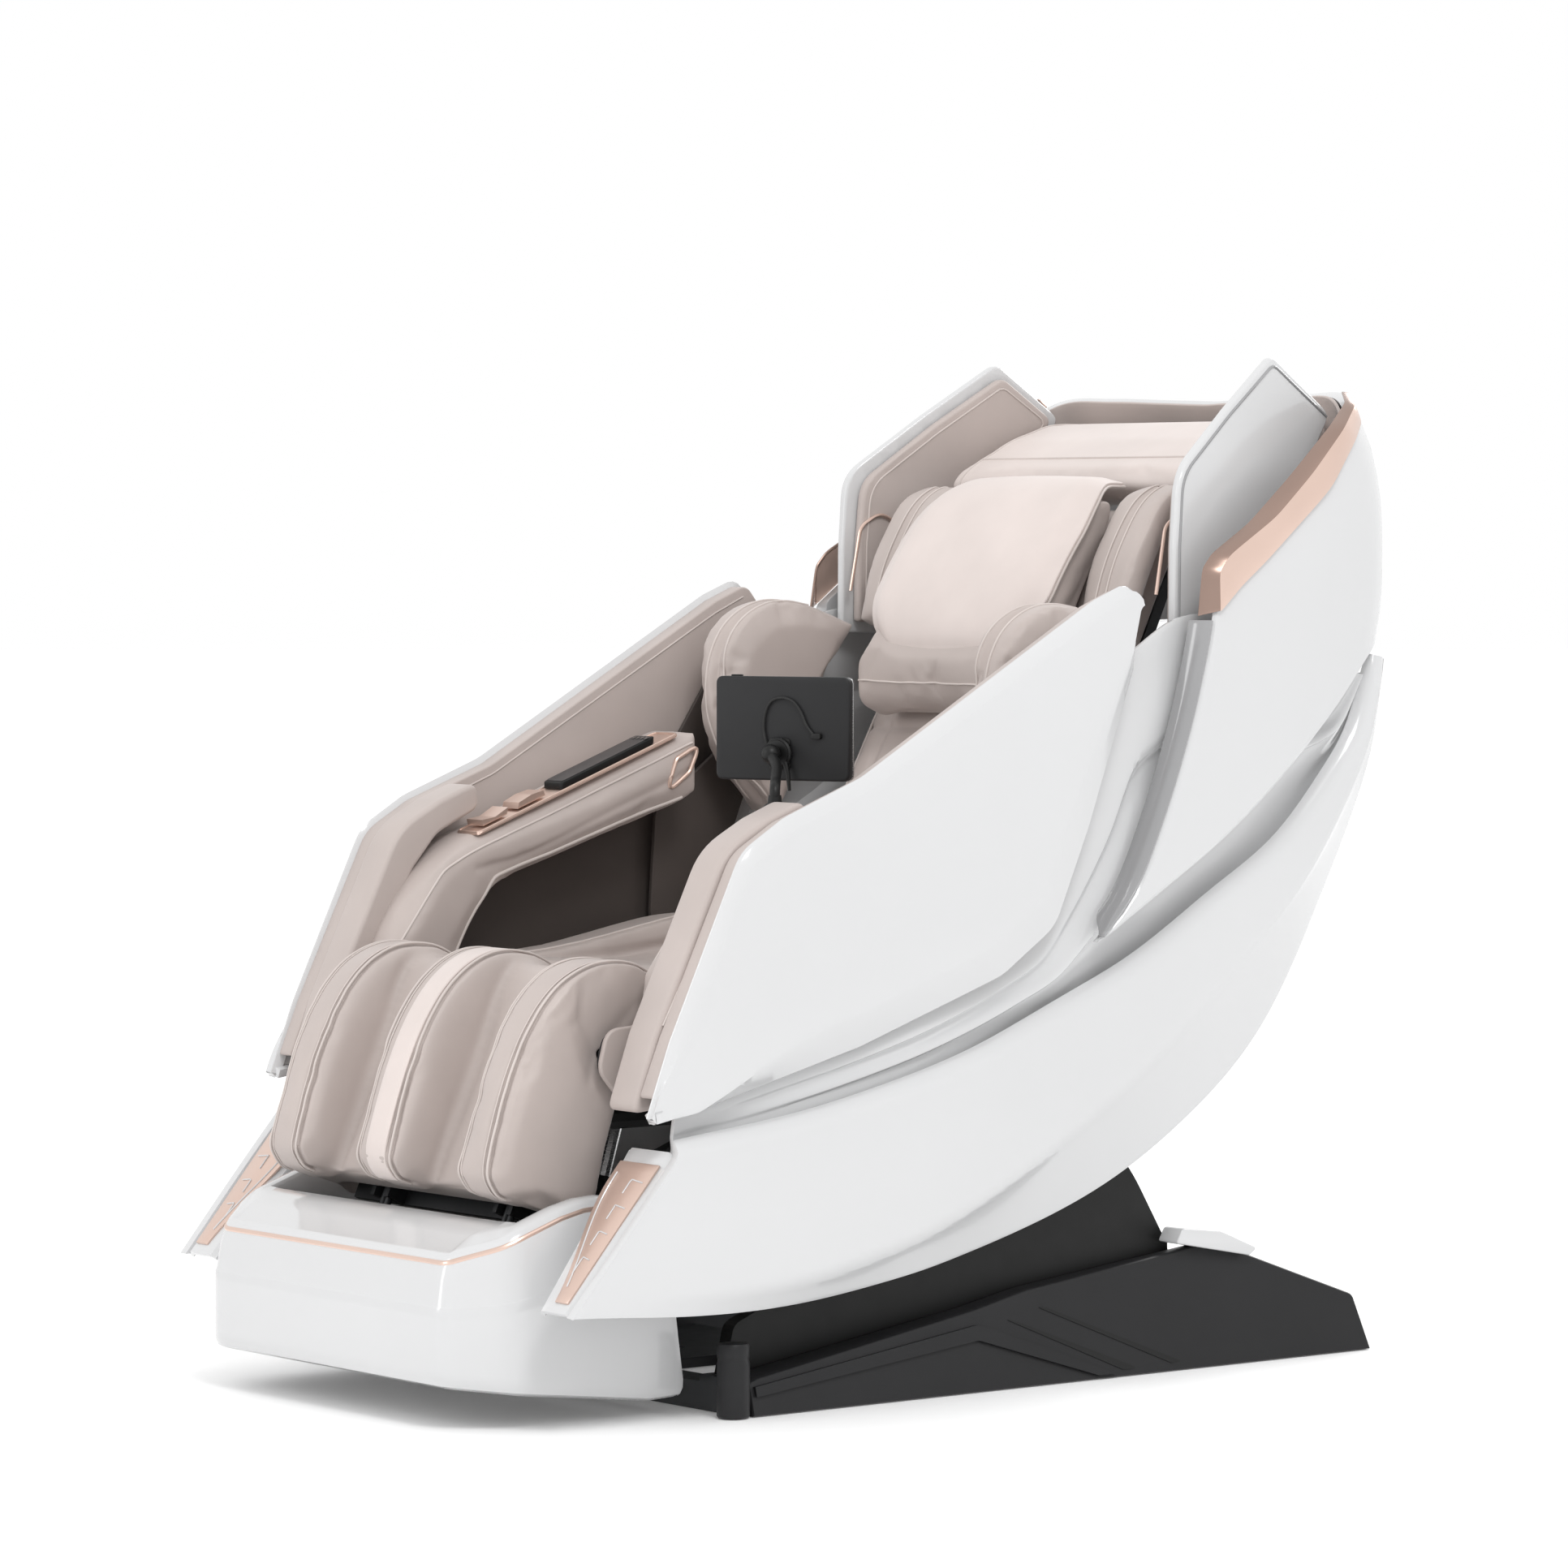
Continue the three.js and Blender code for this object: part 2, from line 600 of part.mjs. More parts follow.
function makeBackPads() {
  addPair('shoulder_pad', padPlate([
    [172, 625, 20], [100, 700, 40], [80, 780, 40], [92, 860, 50], [150, 902, 40], [220, 900, 40],
    [300, 872, 20],
    [262, 800, 20], [218, 690, 20],
  ], 224, 296, 10), 'leather_taupe');
  addPiece('back_pad', padPlate([
    onBack(14, 6, 10), onBack(200, 2, 40), onBack(400, -10, 40), onBack(620, -20, 10), onBack(620, -60, 10),
    onBack(14, -56, 10),
  ], -212, 212, 8), 'leather_taupe');
  addPair('head_pad', padPlate([
    onBack(425, -2), onBack(425, 30), onBack(500, 46, 30), onBack(600, 34, 30), onBack(632, -8),
  ], 164, 250, 9), 'leather_taupe');
  addPiece('hood', padPlate([
    onBack(626, -64, 10), onBack(626, -20, 16), [440, 1078, 30], [500, 1112, 40], [580, 1132, 60], [655, 1126, 20],
    [648, 1080, 20],
  ], -224, 224, 8), 'leather_pale');
  addPiece('pillow', padPlate([
    onBack(300, 4, 10), onBack(296, 60, 24), onBack(372, 82, 40), onBack(470, 74, 60), onBack(590, 52, 50),
    onBack(628, 14, 20), onBack(618, -2, 8), onBack(560, 0), onBack(420, 4),
  ], -156, 156, 10), 'leather_pale');
}

function makeBackFrame() {
  const plate = sidePlate([
    onBack(-26, -26, 16), onBack(-26, 26, 16), onBack(22, 26, 16), onBack(60, -70, 20), onBack(600, -70, 10),
    onBack(600, -112, 10), onBack(30, -112, 20),
  ], 216, 226);
  const rail = sidePlate([onBack(120, -128), onBack(600, -128), onBack(600, -142), onBack(120, -142)], 92, 104);
  const tie = (along) => crossBar(9, -218, 218, onBack(along, -96).slice(0, 2), 8);
  const railTie = (along) => crossBar(8, -100, 100, onBack(along, -136).slice(0, 2), 8);
  const lever = sidePlate([
    onBack(24, -98, 8), onBack(24, -64, 8), onBack(-16, -78, 8), onBack(-16, -108, 8),
  ], 14, 20);
  const strut = (along, x) => sidePlate([
    onBack(along, -90), onBack(along + 16, -90), onBack(along + 16, -144), onBack(along, -144),
  ], x, x + 10);
  addPiece('back_frame', join(
    plate,
    mirrorX(plate),
    rail,
    mirrorX(rail),
    crossBar(9, SEAT_PLATE_IN - 14, SEAT_PLATE_IN - GAP - 1, BACK_PIVOT, 10),
    mirrorX(crossBar(9, SEAT_PLATE_IN - 14, SEAT_PLATE_IN - GAP - 1, BACK_PIVOT, 10)),
    tie(40),
    tie(590),
    crossBar(8, -218, 218, onBack(16, -76).slice(0, 2), 8),
    lever,
    mirrorX(lever),
    railTie(126),
    railTie(592),
    strut(582, 92),
    mirrorX(strut(582, 92)),
    strut(120, 92),
    mirrorX(strut(120, 92)),
  ), 'frame_steel');
  addPiece('back_cover', sidePlate([
    onBack(-4, -122), onBack(150, -178, 60), onBack(500, -300, 60), [680, 840, 10], [686, 838, 6],
    onBack(502, -305, 60), onBack(150, -183, 60), onBack(-6, -127),
  ], -BACK_INSIDE + 14, BACK_INSIDE - 14), 'black_panel');
  addPiece('massage_carriage', join(
    sidePlate([onBack(280, -118), onBack(400, -118), onBack(400, -126), onBack(280, -126)], -88, 88),
    sidePlate([onBack(300, -100, 6), onBack(380, -100, 6), onBack(380, -122), onBack(300, -122)], 20, 30),
    sidePlate([onBack(300, -100, 6), onBack(380, -100, 6), onBack(380, -122), onBack(300, -122)], -30, -20),
    sidePlate([onBack(305, -124), onBack(375, -124), onBack(375, -160), onBack(305, -160)], -40, 40),
  ), 'black_plastic');
  const wheelAt = onBack(340, -92).slice(0, 2);
  const roller = crossBar(26, 40, 62, wheelAt, 16);
  addPiece('kneading_rollers', join(crossBar(5, -64, 64, wheelAt, 8), roller, mirrorX(roller)), 'rubber');
}

// ---- leg rest ----------------------------------------------------------------------------------

function makeLegRest() {
  const bed = padPlate([
    onCalf(-104, -34, 16), onCalf(-100, 24, 30), onCalf(-60, 40, 30), onCalf(196, 40, 8), onCalf(200, -4, 8),
    onCalf(-40, -4, 10), onCalf(-70, -30, 10),
  ], -CALF_HALF + 14, CALF_HALF - 14, 4);
  const finOutline = [
    onCalf(-114, -34, 12), onCalf(-118, 10, 40), onCalf(-88, 66, 50), onCalf(-30, 104, 60), onCalf(60, 116, 60),
    onCalf(186, 102, 20), onCalf(204, 78, 14), onCalf(204, 30), onCalf(-60, 10), onCalf(-80, -30),
  ];
  const outerFin = padPlate(finOutline, CALF_GROOVE_OUT, CALF_HALF, 9);
  const middleFin = padPlate(finOutline, -CALF_GROOVE_IN, CALF_GROOVE_IN, 9);
  const skirt = padPlate([
    onCalf(-112, -38, 10), onCalf(20, -42, 60), onCalf(150, -52, 60), onCalf(198, -50, 12), onCalf(204, 40),
    onCalf(-100, 40, 10),
  ], CALF_HALF - 17, CALF_HALF, 3);
  const sidePad = join(outerFin, skirt);
  const pinHole = crossBar(7.6, -CALF_HALF - 5, CALF_HALF + 5, LEG_PIVOT);
  const earRoom = sidePlate([
    onCalf(-15, -45), onCalf(-15, 11), onCalf(63, 11), onCalf(63, -45),
  ], EAR_IN - 2, EAR_IN + 10);
  addPiece('calf_pad', cut(
    join(bed, sidePad, mirrorX(sidePad), middleFin), pinHole, earRoom, mirrorX(earRoom),
  ), 'leather_taupe');

  const ear = join(
    sidePlate([
      onCalf(-12, -14, 6), onCalf(-12, 8, 6), onCalf(14, 8, 6), onCalf(60, -10, 10), onCalf(60, -38),
      onCalf(22, -38, 10),
    ], EAR_IN, EAR_IN + 8),
    crossBar(7, EAR_IN + 4, SEAT_PLATE_IN - 1, LEG_PIVOT),
  );
  const guide = (x) => sidePlate([
    onCalf(40, -33), onCalf(196, -33), onCalf(196, -4.6), onCalf(40, -4.6),
  ], x, x + 7);
  const leverPlate = sidePlate([
    onCalf(30, -36, 4), onCalf(78, -36, 4), onCalf(66, -66, 8), onCalf(50, -90, 8), onCalf(40, -88, 8),
  ], 84, 90);
  addPiece('calf_frame', join(
    sidePlate([onCalf(20, -38), onCalf(196, -38), onCalf(196, -30), onCalf(20, -30)], -EAR_IN - 8, EAR_IN + 8),
    ear,
    mirrorX(ear),
    guide(103),
    guide(131),
    mirrorX(guide(103)),
    mirrorX(guide(131)),
    leverPlate,
    leverPlate.clone().translate(-34, 0, 0),
  ), 'frame_steel');
}

// ---- foot unit ---------------------------------------------------------------------------------

function makeFootUnit() {
  const plan = new THREE.ExtrudeGeometry(roundedShape([
    [-FOOT_HALF, -352], [FOOT_HALF, -352], [FOOT_HALF - 4, -590, 60], [226, -650, 40], [-226, -650, 40],
    [-FOOT_HALF + 4, -590, 60],
  ]), { depth: 260, bevelEnabled: false, curveSegments: 5 });
  const profile = sidePlate([
    [-672, 190, 10], [-660, 120, 60], [-654, 48, 12], [-404, 19, 16], [-364, 24, 16], [-357, 92, 14],
    [-404, 236, 30],
    [-463, 246, 30], [-520, 236, 40], [-600, 208, 30], [-640, 194, 10],
  ], -FOOT_HALF - 10, FOOT_HALF + 10);
  const deckPocket = block([-244, 244], [-562, -340], [188, 300]);
  const rollerPocket = block([-205, 205], [-568, -515], [140, 200]);
  const post = (x) => sidePlate([
    onCalf(238, -24), onCalf(80, -24), onCalf(80, -9), onCalf(238, -9),
  ], x - 9, x + 9);
  const underside = block([-236, 236], [-622, -388], [-10, 132]);
  const tub = cut(common(plan, profile), deckPocket, rollerPocket, underside);
  addPiece('foot_housing', join(tub, post(120.5), post(-120.5)), 'gloss_white');
  const rollerSpots = [-140, -84, 84, 140];
  addPiece('sole_roller', join(
    crossBar(9, -200, 200, ROLLER_AXIS, 8),
    ...rollerSpots.map((x) => crossBar(22, x - 20, x + 20, ROLLER_AXIS, 12)),
  ), 'rubber');
}

// ---- tablet on its pole ------------------------------------------------------------------------

const POLE_FOOT = [272, -226];
const TABLET_CENTRE = new THREE.Vector3(207, -161, 756);
// The direction that the tablet's back faces
const TABLET_BACK = new THREE.Vector3(0.373, -0.928, 0);

function onTablet(geometry) {
  const right = new THREE.Vector3(0.928, 0.373, 0);
  const frame = new THREE.Matrix4().makeBasis(right, TABLET_BACK.clone().negate(), new THREE.Vector3(0, 0, 1));
  return geometry.applyMatrix4(frame).translate(...TABLET_CENTRE.toArray());
}

function alongCurve(points, radius, steps, sides = 8) {
  const section = new THREE.Shape(
    Array.from({ length: sides }, (_, i) => {
      const angle = (2 * Math.PI * i) / sides;
      return new THREE.Vector2(radius * Math.cos(angle), radius * Math.sin(angle));
    }),
  );
  return new THREE.ExtrudeGeometry(section, { steps, bevelEnabled: false, extrudePath: curve(points) });
}

function makeTablet() {
  const socketFoot = armTop(POLE_FOOT[1]) + 9.5;
  const socketHeight = 18;
  addPiece('pole_socket', new THREE.CylinderGeometry(20, 23, socketHeight, 14).rotateX(Math.PI / 2)
    .translate(...POLE_FOOT, socketFoot + socketHeight / 2), 'black_plastic');
  const poleStart = socketFoot + socketHeight + GAP;
  addPiece('tablet_pole', join(
    new THREE.CylinderGeometry(14, 14, 12, 16).rotateX(Math.PI / 2).translate(...POLE_FOOT, poleStart + 6),
    alongCurve([
      [...POLE_FOOT, poleStart + 4], [...POLE_FOOT, poleStart + 30], [258, -214, 700], [236, -196, 716],
      [220, -190, 726],
    ], 6, 12, 8),
    new THREE.SphereGeometry(11, 10, 8).translate(215.6, -187.8, 728),
  ), 'black_plastic');
  const body = onTablet(block([-87, 87], [-7, 7], [-59, 59]));
  const mount = onTablet(join(
    new THREE.CylinderGeometry(15, 17, 9, 12).translate(-2, -11.4, -28),
    block([-14, 10], [-16, -7], [-46, -12]),
  ));
  addPiece('tablet', join(body, mount), 'black_plastic');
}

const CABLE_ROUTE = [
  [44, -9.4, -8], [34, -9.6, 4], [26, -9.6, 20], [16, -9.6, 31], [2, -9.6, 35], [-12, -9.6, 31],
  [-20, -9.6, 18],
  [-22, -9.6, 0], [-20, -9.6, -12], [-17.5, -9.6, -20],
];

function makeCable() {
  addPiece('tablet_cable', onTablet(alongCurve(CABLE_ROUTE, 1.5, 28)), 'cable');
}

makeBase();
makeLowerShell();
makeSideShell();
makeArms();
makeControls();
makeSeat();
makeActuators();
makeRearShell();
makeWings();
makeBackPads();
makeBackFrame();
makeLegRest();
makeFootUnit();
makeTablet();
makeCable();

export default chair;
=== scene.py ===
"""Looks for a reclining massage chair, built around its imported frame.

Outlines are in millimetres in the frame's axes: +Z up, the sitter faces -Y and +X is the sitter's left.
They become metres when a mesh is made. Side outlines are [y, z], with a corner radius as a third value.
"""

import math

import bmesh
import bpy
import numpy as np
from mathutils import Matrix, Vector
from mathutils.bvhtree import BVHTree


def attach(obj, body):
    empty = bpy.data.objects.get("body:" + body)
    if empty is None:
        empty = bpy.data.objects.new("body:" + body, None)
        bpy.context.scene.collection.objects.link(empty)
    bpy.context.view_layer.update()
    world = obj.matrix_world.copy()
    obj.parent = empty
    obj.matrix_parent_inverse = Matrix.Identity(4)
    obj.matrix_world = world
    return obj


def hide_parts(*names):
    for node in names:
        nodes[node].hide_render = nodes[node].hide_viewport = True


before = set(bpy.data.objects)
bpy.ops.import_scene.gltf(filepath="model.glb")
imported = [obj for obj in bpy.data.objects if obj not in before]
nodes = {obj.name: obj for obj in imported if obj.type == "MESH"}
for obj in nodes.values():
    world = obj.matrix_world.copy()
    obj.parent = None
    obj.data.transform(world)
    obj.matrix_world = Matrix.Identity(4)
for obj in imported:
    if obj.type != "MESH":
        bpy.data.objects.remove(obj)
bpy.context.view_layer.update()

MM = 0.001
SIDES = ((1, "left"), (-1, "right"))
HALF_WIDTH = 380
SHELL_WALL = 14

# pivots and the two directions of the back and the leg rest, in [y, z]
BACK_PIVOT = (150, 470)
BACK_UP = (0.4275, 0.904)
BACK_OUT = (-0.904, 0.4275)
LEG_PIVOT = (-420, 400)
CALF_DOWN = (-0.407, -0.9135)
CALF_OUT = (-0.9135, 0.407)


# ---- camera and lights ----

CAMERA_PLACE = Vector((5.784, -4.535, 0.985))
CAMERA_AZIMUTH = math.radians(51.9)
CAMERA_DOWN = math.radians(2.36)
CAMERA_LENS = 143.5
SENSOR_WIDTH = 36


def link(obj):
    bpy.context.collection.objects.link(obj)


def add_camera():
    data = bpy.data.cameras.new("camera")
    data.lens = CAMERA_LENS
    data.sensor_width = SENSOR_WIDTH
    data.clip_end = 50
    camera = bpy.data.objects.new("camera", data)
    link(camera)
    look = Vector((
        -math.sin(CAMERA_AZIMUTH) * math.cos(CAMERA_DOWN),
        math.cos(CAMERA_AZIMUTH) * math.cos(CAMERA_DOWN),
        -math.sin(CAMERA_DOWN),
    ))
    camera.location = CAMERA_PLACE
    camera.rotation_euler = look.to_track_quat("-Z", "Y").to_euler()
    bpy.context.scene.camera = camera


def add_area(name, place, target, size, power):
    data = bpy.data.lights.new(name, "AREA")
    data.shape = "RECTANGLE"
    data.size, data.size_y = size
    data.energy = power
    light = bpy.data.objects.new(name, data)
    link(light)
    light.location = place
    light.rotation_euler = (Vector(target) - Vector(place)).to_track_quat("-Z", "Y").to_euler()


def add_world():
    """A white surround, shown without a filmic curve so that the white shells stay white."""
    world = bpy.data.worlds.new("studio")
    bpy.context.scene.world = world
    world.use_nodes = True
    background = world.node_tree.nodes["Background"]
    background.inputs["Color"].default_value = (1, 1, 1, 1)
    background.inputs["Strength"].default_value = 1.0
    bpy.context.scene.view_settings.view_transform = "Standard"


# ---- materials ----

COLOUR_SPAN = (0.3, 0.7)


class Look:
    """A Principled material that is built up from object coordinates."""

    def __init__(self, name, roughness, metallic=0.0):
        self.material = bpy.data.materials.new(name)
        self.material.use_nodes = True
        self.tree = self.material.node_tree
        self.shader = self.tree.nodes["Principled BSDF"]
        self.shader.inputs["Roughness"].default_value = roughness
        self.shader.inputs["Metallic"].default_value = metallic
        self.coordinates = self.tree.nodes.new("ShaderNodeTexCoord")
        self.height = None

    def set(self, **values):
        for name, value in values.items():
            self.shader.inputs[name.replace("_", " ")].default_value = value
        return self

    def noise(self, scale, detail=2.0, stretch=(1, 1, 1), roughness=0.5):
        mapping = self.tree.nodes.new("ShaderNodeMapping")
        mapping.inputs["Scale"].default_value = stretch
        self.tree.links.new(self.coordinates.outputs["Object"], mapping.inputs["Vector"])
        node = self.tree.nodes.new("ShaderNodeTexNoise")
        node.inputs["Scale"].default_value = scale
        node.inputs["Detail"].default_value = detail
        node.inputs["Roughness"].default_value = roughness
        self.tree.links.new(mapping.outputs["Vector"], node.inputs["Vector"])
        return node.outputs["Fac"]

    def cells(self, scale):
        node = self.tree.nodes.new("ShaderNodeTexVoronoi")
        node.feature = "DISTANCE_TO_EDGE"
        node.inputs["Scale"].default_value = scale
        self.tree.links.new(self.coordinates.outputs["Object"], node.inputs["Vector"])
        return node.outputs["Distance"]

    def colour(self, source, low, high):
        node = self.tree.nodes.new("ShaderNodeValToRGB")
        for element, place, shade in zip(node.color_ramp.elements, COLOUR_SPAN, (low, high)):
            element.position, element.color = place, (*shade, 1)
        self.tree.links.new(source, node.inputs["Fac"])
        self.tree.links.new(node.outputs["Color"], self.shader.inputs["Base Color"])
        return self

    def rough(self, source, low, high):
        node = self.tree.nodes.new("ShaderNodeMapRange")
        node.inputs["To Min"].default_value = low
        node.inputs["To Max"].default_value = high
        self.tree.links.new(source, node.inputs["Value"])
        self.tree.links.new(node.outputs["Result"], self.shader.inputs["Roughness"])
        return self

    def bump(self, source, strength, distance):
        node = self.tree.nodes.new("ShaderNodeBump")
        node.inputs["Strength"].default_value = strength
        node.inputs["Distance"].default_value = distance
        self.tree.links.new(source, node.inputs["Height"])
        if self.height is not None:
            self.tree.links.new(self.height, node.inputs["Normal"])
        self.height = node.outputs["Normal"]
        self.tree.links.new(self.height, self.shader.inputs["Normal"])
        return self


def grey(value):
    return (value, value, value)


def tinted(colour, factor):
    return tuple(min(1.0, c * factor) for c in colour)


def shell_look(name, colour):
    """Injection-moulded gloss plastic: clear coat, faint orange peel, fine dust-dull patches."""
    look = Look(name, 0.16)
    look.colour(look.noise(3.0, 3), tinted(colour, 0.985), tinted(colour, 1.01))
    look.rough(look.noise(14.0, 4), 0.13, 0.2)
    look.bump(look.noise(55.0, 1), 0.03, 0.0006)
    return look.set(Coat_Weight=0.45, Coat_Roughness=0.06, IOR=1.5).material


def leather_look(name, colour, sheen=0.15):
    """Soft coated leather: pebble grain of about a millimetre, pores and slow colour drift."""
    look = Look(name, 0.5)
    look.colour(look.noise(9.0, 5), tinted(colour, 0.94), tinted(colour, 1.04))
    look.rough(look.noise(26.0, 4), 0.42, 0.56)
    look.bump(look.noise(22.0, 3), 0.12, 0.0012)
    look.bump(look.cells(620.0), 0.22, 0.00025)
    look.bump(look.noise(1500.0, 2), 0.15, 0.00012)
    return look.set(Sheen_Weight=sheen, Sheen_Roughness=0.4, Specular_IOR_Level=0.42).material


def satin_metal_look(name, colour):
    """Satin plating with a fine brushed direction."""
    look = Look(name, 0.3, 0.75)
    look.colour(look.noise(5.0, 3), tinted(colour, 0.95), tinted(colour, 1.05))
    look.rough(look.noise(30.0, 3, (1, 0.15, 1)), 0.24, 0.36)
    look.bump(look.noise(900.0, 1, (1, 0.05, 0.4)), 0.04, 0.0001)
    return look.set(Coat_Weight=0.2, Coat_Roughness=0.15).material


def moulded_look(name, colour, roughness=0.42, grain=1100.0):
    """Dark moulded plastic with a spark-eroded grain."""
    look = Look(name, roughness)
    look.colour(look.noise(7.0, 4), tinted(colour, 0.88), tinted(colour, 1.12))
    look.rough(look.noise(40.0, 3), roughness - 0.06, roughness + 0.08)
    look.bump(look.noise(grain, 2), 0.25, 0.00015)
    return look.set(Specular_IOR_Level=0.3).material


def coated_steel_look(name, colour):
    look = Look(name, 0.45, 0.35)
    look.colour(look.noise(12.0, 4), tinted(colour, 0.85), tinted(colour, 1.1))
    look.rough(look.noise(60.0, 3), 0.38, 0.55)
    look.bump(look.noise(500.0, 2), 0.3, 0.0002)
    return look.material


def ground_steel_look(name, colour):
    look = Look(name, 0.25, 1.0)
    look.colour(look.noise(20.0, 2, (1, 1, 8)), tinted(colour, 0.92), tinted(colour, 1.06))
    look.rough(look.noise(120.0, 2, (1, 1, 12)), 0.18, 0.34)
    return look.material


def rubber_look(name, colour):
    look = Look(name, 0.75)
    look.colour(look.noise(30.0, 4), tinted(colour, 0.8), tinted(colour, 1.3))
    look.rough(look.noise(80.0, 2), 0.65, 0.85)
    look.bump(look.noise(700.0, 2), 0.3, 0.0002)
    return look.material


def glass_look(name):
    look = Look(name, 0.08)
    look.colour(look.noise(2.0, 1), grey(0.008), grey(0.012))
    look.rough(look.noise(12.0, 4), 0.05, 0.14)
    return look.set(Coat_Weight=1.0, Coat_Roughness=0.03).material


WHITE = shell_look("gloss_white", (0.6, 0.602, 0.607))
# a darker copy of the white shell plastic: painted shade for the panel's edge facet and the wings' rim lines
WHITE_SHADE = shell_look("gloss_white_painted_shade", (0.3, 0.3, 0.305))
TAUPE = leather_look("leather_taupe", (0.46, 0.4, 0.375))
# a much darker copy of the taupe leather: painted shade for the gaps inside and behind the arm
TAUPE_DARK = leather_look("leather_taupe_shade", (0.075, 0.062, 0.056))
PALE = leather_look("leather_pale", (0.64, 0.565, 0.535), 0.25)
PIPING = leather_look("leather_piping", (0.58, 0.52, 0.49))
ROSE = satin_metal_look("rose_gold", (0.72, 0.54, 0.46))
# a darker copy of the rose-gold plating: painted shade for the trim strip's upper facet
ROSE_DEEP = satin_metal_look("rose_gold_painted_shade", (0.33, 0.23, 0.19))
BLACK_PANEL = moulded_look("black_panel", grey(0.006), 0.5)
BASE_GREY = moulded_look("base_grey", (0.012, 0.012, 0.013), 0.42)
BLACK_PLASTIC = moulded_look("black_plastic", grey(0.007), 0.42)
TABLET_SHELL = moulded_look("tablet_shell", (0.014, 0.014, 0.015), 0.5)
CONTROL_GREY = moulded_look("control_grey", (0.055, 0.05, 0.05), 0.4)
DECK_GREY = moulded_look("deck_grey", (0.12, 0.115, 0.11), 0.6, 500.0)
FRAME_STEEL = coated_steel_look("frame_steel", (0.04, 0.042, 0.045))
BRIGHT_STEEL = ground_steel_look("bright_steel", grey(0.6))
RUBBER = rubber_look("rubber", grey(0.02))
CABLE = rubber_look("cable", grey(0.012))
SCREEN = glass_look("screen_glass")


# ---- curves, outlines and meshes ----

def smoothstep(x, low, high):
    t = min(1.0, max(0.0, (x - low) / (high - low)))
    return t * t * (3 - 2 * t)


def mix(a, b, t):
    return a + (b - a) * t


def bell(x, centre, width):
    return math.exp(-(((x - centre) / width) ** 2))


def spline(points):
    """A centripetal Catmull-Rom curve through the points, called with u from 0 to 1."""
    knots = [Vector(p) for p in points]
    last = len(knots) - 1

    def at(u):
        t = min(1.0, max(0.0, u)) * last
        i = min(int(t), last - 1)
        w = t - i
        p1, p2 = knots[i], knots[i + 1]
        p0 = knots[i - 1] if i > 0 else 2 * p1 - p2
        p3 = knots[i + 2] if i + 2 <= last else 2 * p2 - p1
        d0, d1, d2 = ((b - a).length ** 0.5 for a, b in ((p0, p1), (p1, p2), (p2, p3)))
        t1 = ((p1 - p0) / d0 - (p2 - p0) / (d0 + d1) + (p2 - p1) / d1) * d1
        t2 = ((p2 - p1) / d1 - (p3 - p1) / (d1 + d2) + (p3 - p2) / d2) * d1
        return p1 + t1 * w + (3 * (p2 - p1) - 2 * t1 - t2) * w * w + (2 * (p1 - p2) + t1 + t2) * w ** 3

    return at


def sampled(curve, steps, x=0):
    """steps + 1 points of a curve, moved along X by x."""
    return [Vector((x, 0, 0)) + curve(i / steps) for i in range(steps + 1)]


def side_spline(points):
    """A spline through side points [y, z]."""
    return spline([(0, *p[:2]) for p in points])


def by_length(curve, count):
    """count points spaced evenly along the curve."""
    return evenly(sampled(curve, 240), count)


def evenly(points, count):
    """count points spaced evenly along straight runs between the points."""
    lengths = [0.0]
    for a, b in zip(points, points[1:]):
        lengths.append(lengths[-1] + (b - a).length)
    result = []
    place = 0
    for k in range(count):
        goal = lengths[-1] * k / (count - 1)
        while place < len(lengths) - 2 and lengths[place + 1] < goal:
            place += 1
        span = lengths[place + 1] - lengths[place]
        result.append(points[place].lerp(points[place + 1], (goal - lengths[place]) / span if span else 0))
    return result


def rounded(points, steps=5, closed=True):
    """An outline whose corners are rounded to the radius given as a point's third value."""
    corners = [(Vector(p[:2]), p[2] if len(p) > 2 else 0) for p in points]
    count = len(corners)
    outline = []
    for i, (corner, radius) in enumerate(corners):
        if not radius or (not closed and i in (0, count - 1)):
            outline.append(corner)
            continue
        before, after = corners[i - 1][0], corners[(i + 1) % count][0]
        a, b = (before - corner), (after - corner)
        angle = a.angle(b)
        reach = min(radius / math.tan(angle / 2), 0.48 * a.length, 0.48 * b.length)
        start, end = corner + a.normalized() * reach, corner + b.normalized() * reach
        for k in range(steps + 1):
            t = k / steps
            outline.append(start * (1 - t) ** 2 + corner * 2 * t * (1 - t) + end * t * t)
    return outline


def on_back(along, out, radius=0):
    """A side point by its distances along the back and out from it, towards the sitter."""
    return (
        BACK_PIVOT[0] + BACK_UP[0] * along + BACK_OUT[0] * out,
        BACK_PIVOT[1] + BACK_UP[1] * along + BACK_OUT[1] * out,
        radius,
    )


def back_point(x, along, out):
    return (x, *on_back(along, out)[:2])


def on_calf(along, out, radius=0):
    return (
        LEG_PIVOT[0] + CALF_DOWN[0] * along + CALF_OUT[0] * out,
        LEG_PIVOT[1] + CALF_DOWN[1] * along + CALF_OUT[1] * out,
        radius,
    )


def side_line(x, points, steps=6):
    """An open side outline with rounded corners, at x."""
    return [Vector((x, p[0], p[1])) for p in rounded(points, steps, closed=False)]


def finish_piece(obj, body, material, *replaced, angle=35):
    """Shades a piece, gives it its material, and sets what it rides on and stands for."""
    obj.data.materials.clear()
    obj.data.materials.append(material)
    obj.data.shade_smooth()
    obj.data.set_sharp_from_angle(angle=math.radians(angle))
    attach(obj, body)
    if replaced:
        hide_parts(*replaced)
    return obj


def new_object(name, verts, faces):
    """An object from points in millimetres."""
    mesh = bpy.data.meshes.new(name)
    mesh.from_pydata([Vector(v) * MM for v in verts], [], faces)
    mesh.update()
    obj = bpy.data.objects.new(name, mesh)
    link(obj)
    return obj


def bake(obj):
    """Applies every modifier on the object."""
    graph = bpy.context.evaluated_depsgraph_get()
    mesh = bpy.data.meshes.new_from_object(obj.evaluated_get(graph))
    obj.modifiers.clear()
    obj.data = mesh
    return obj


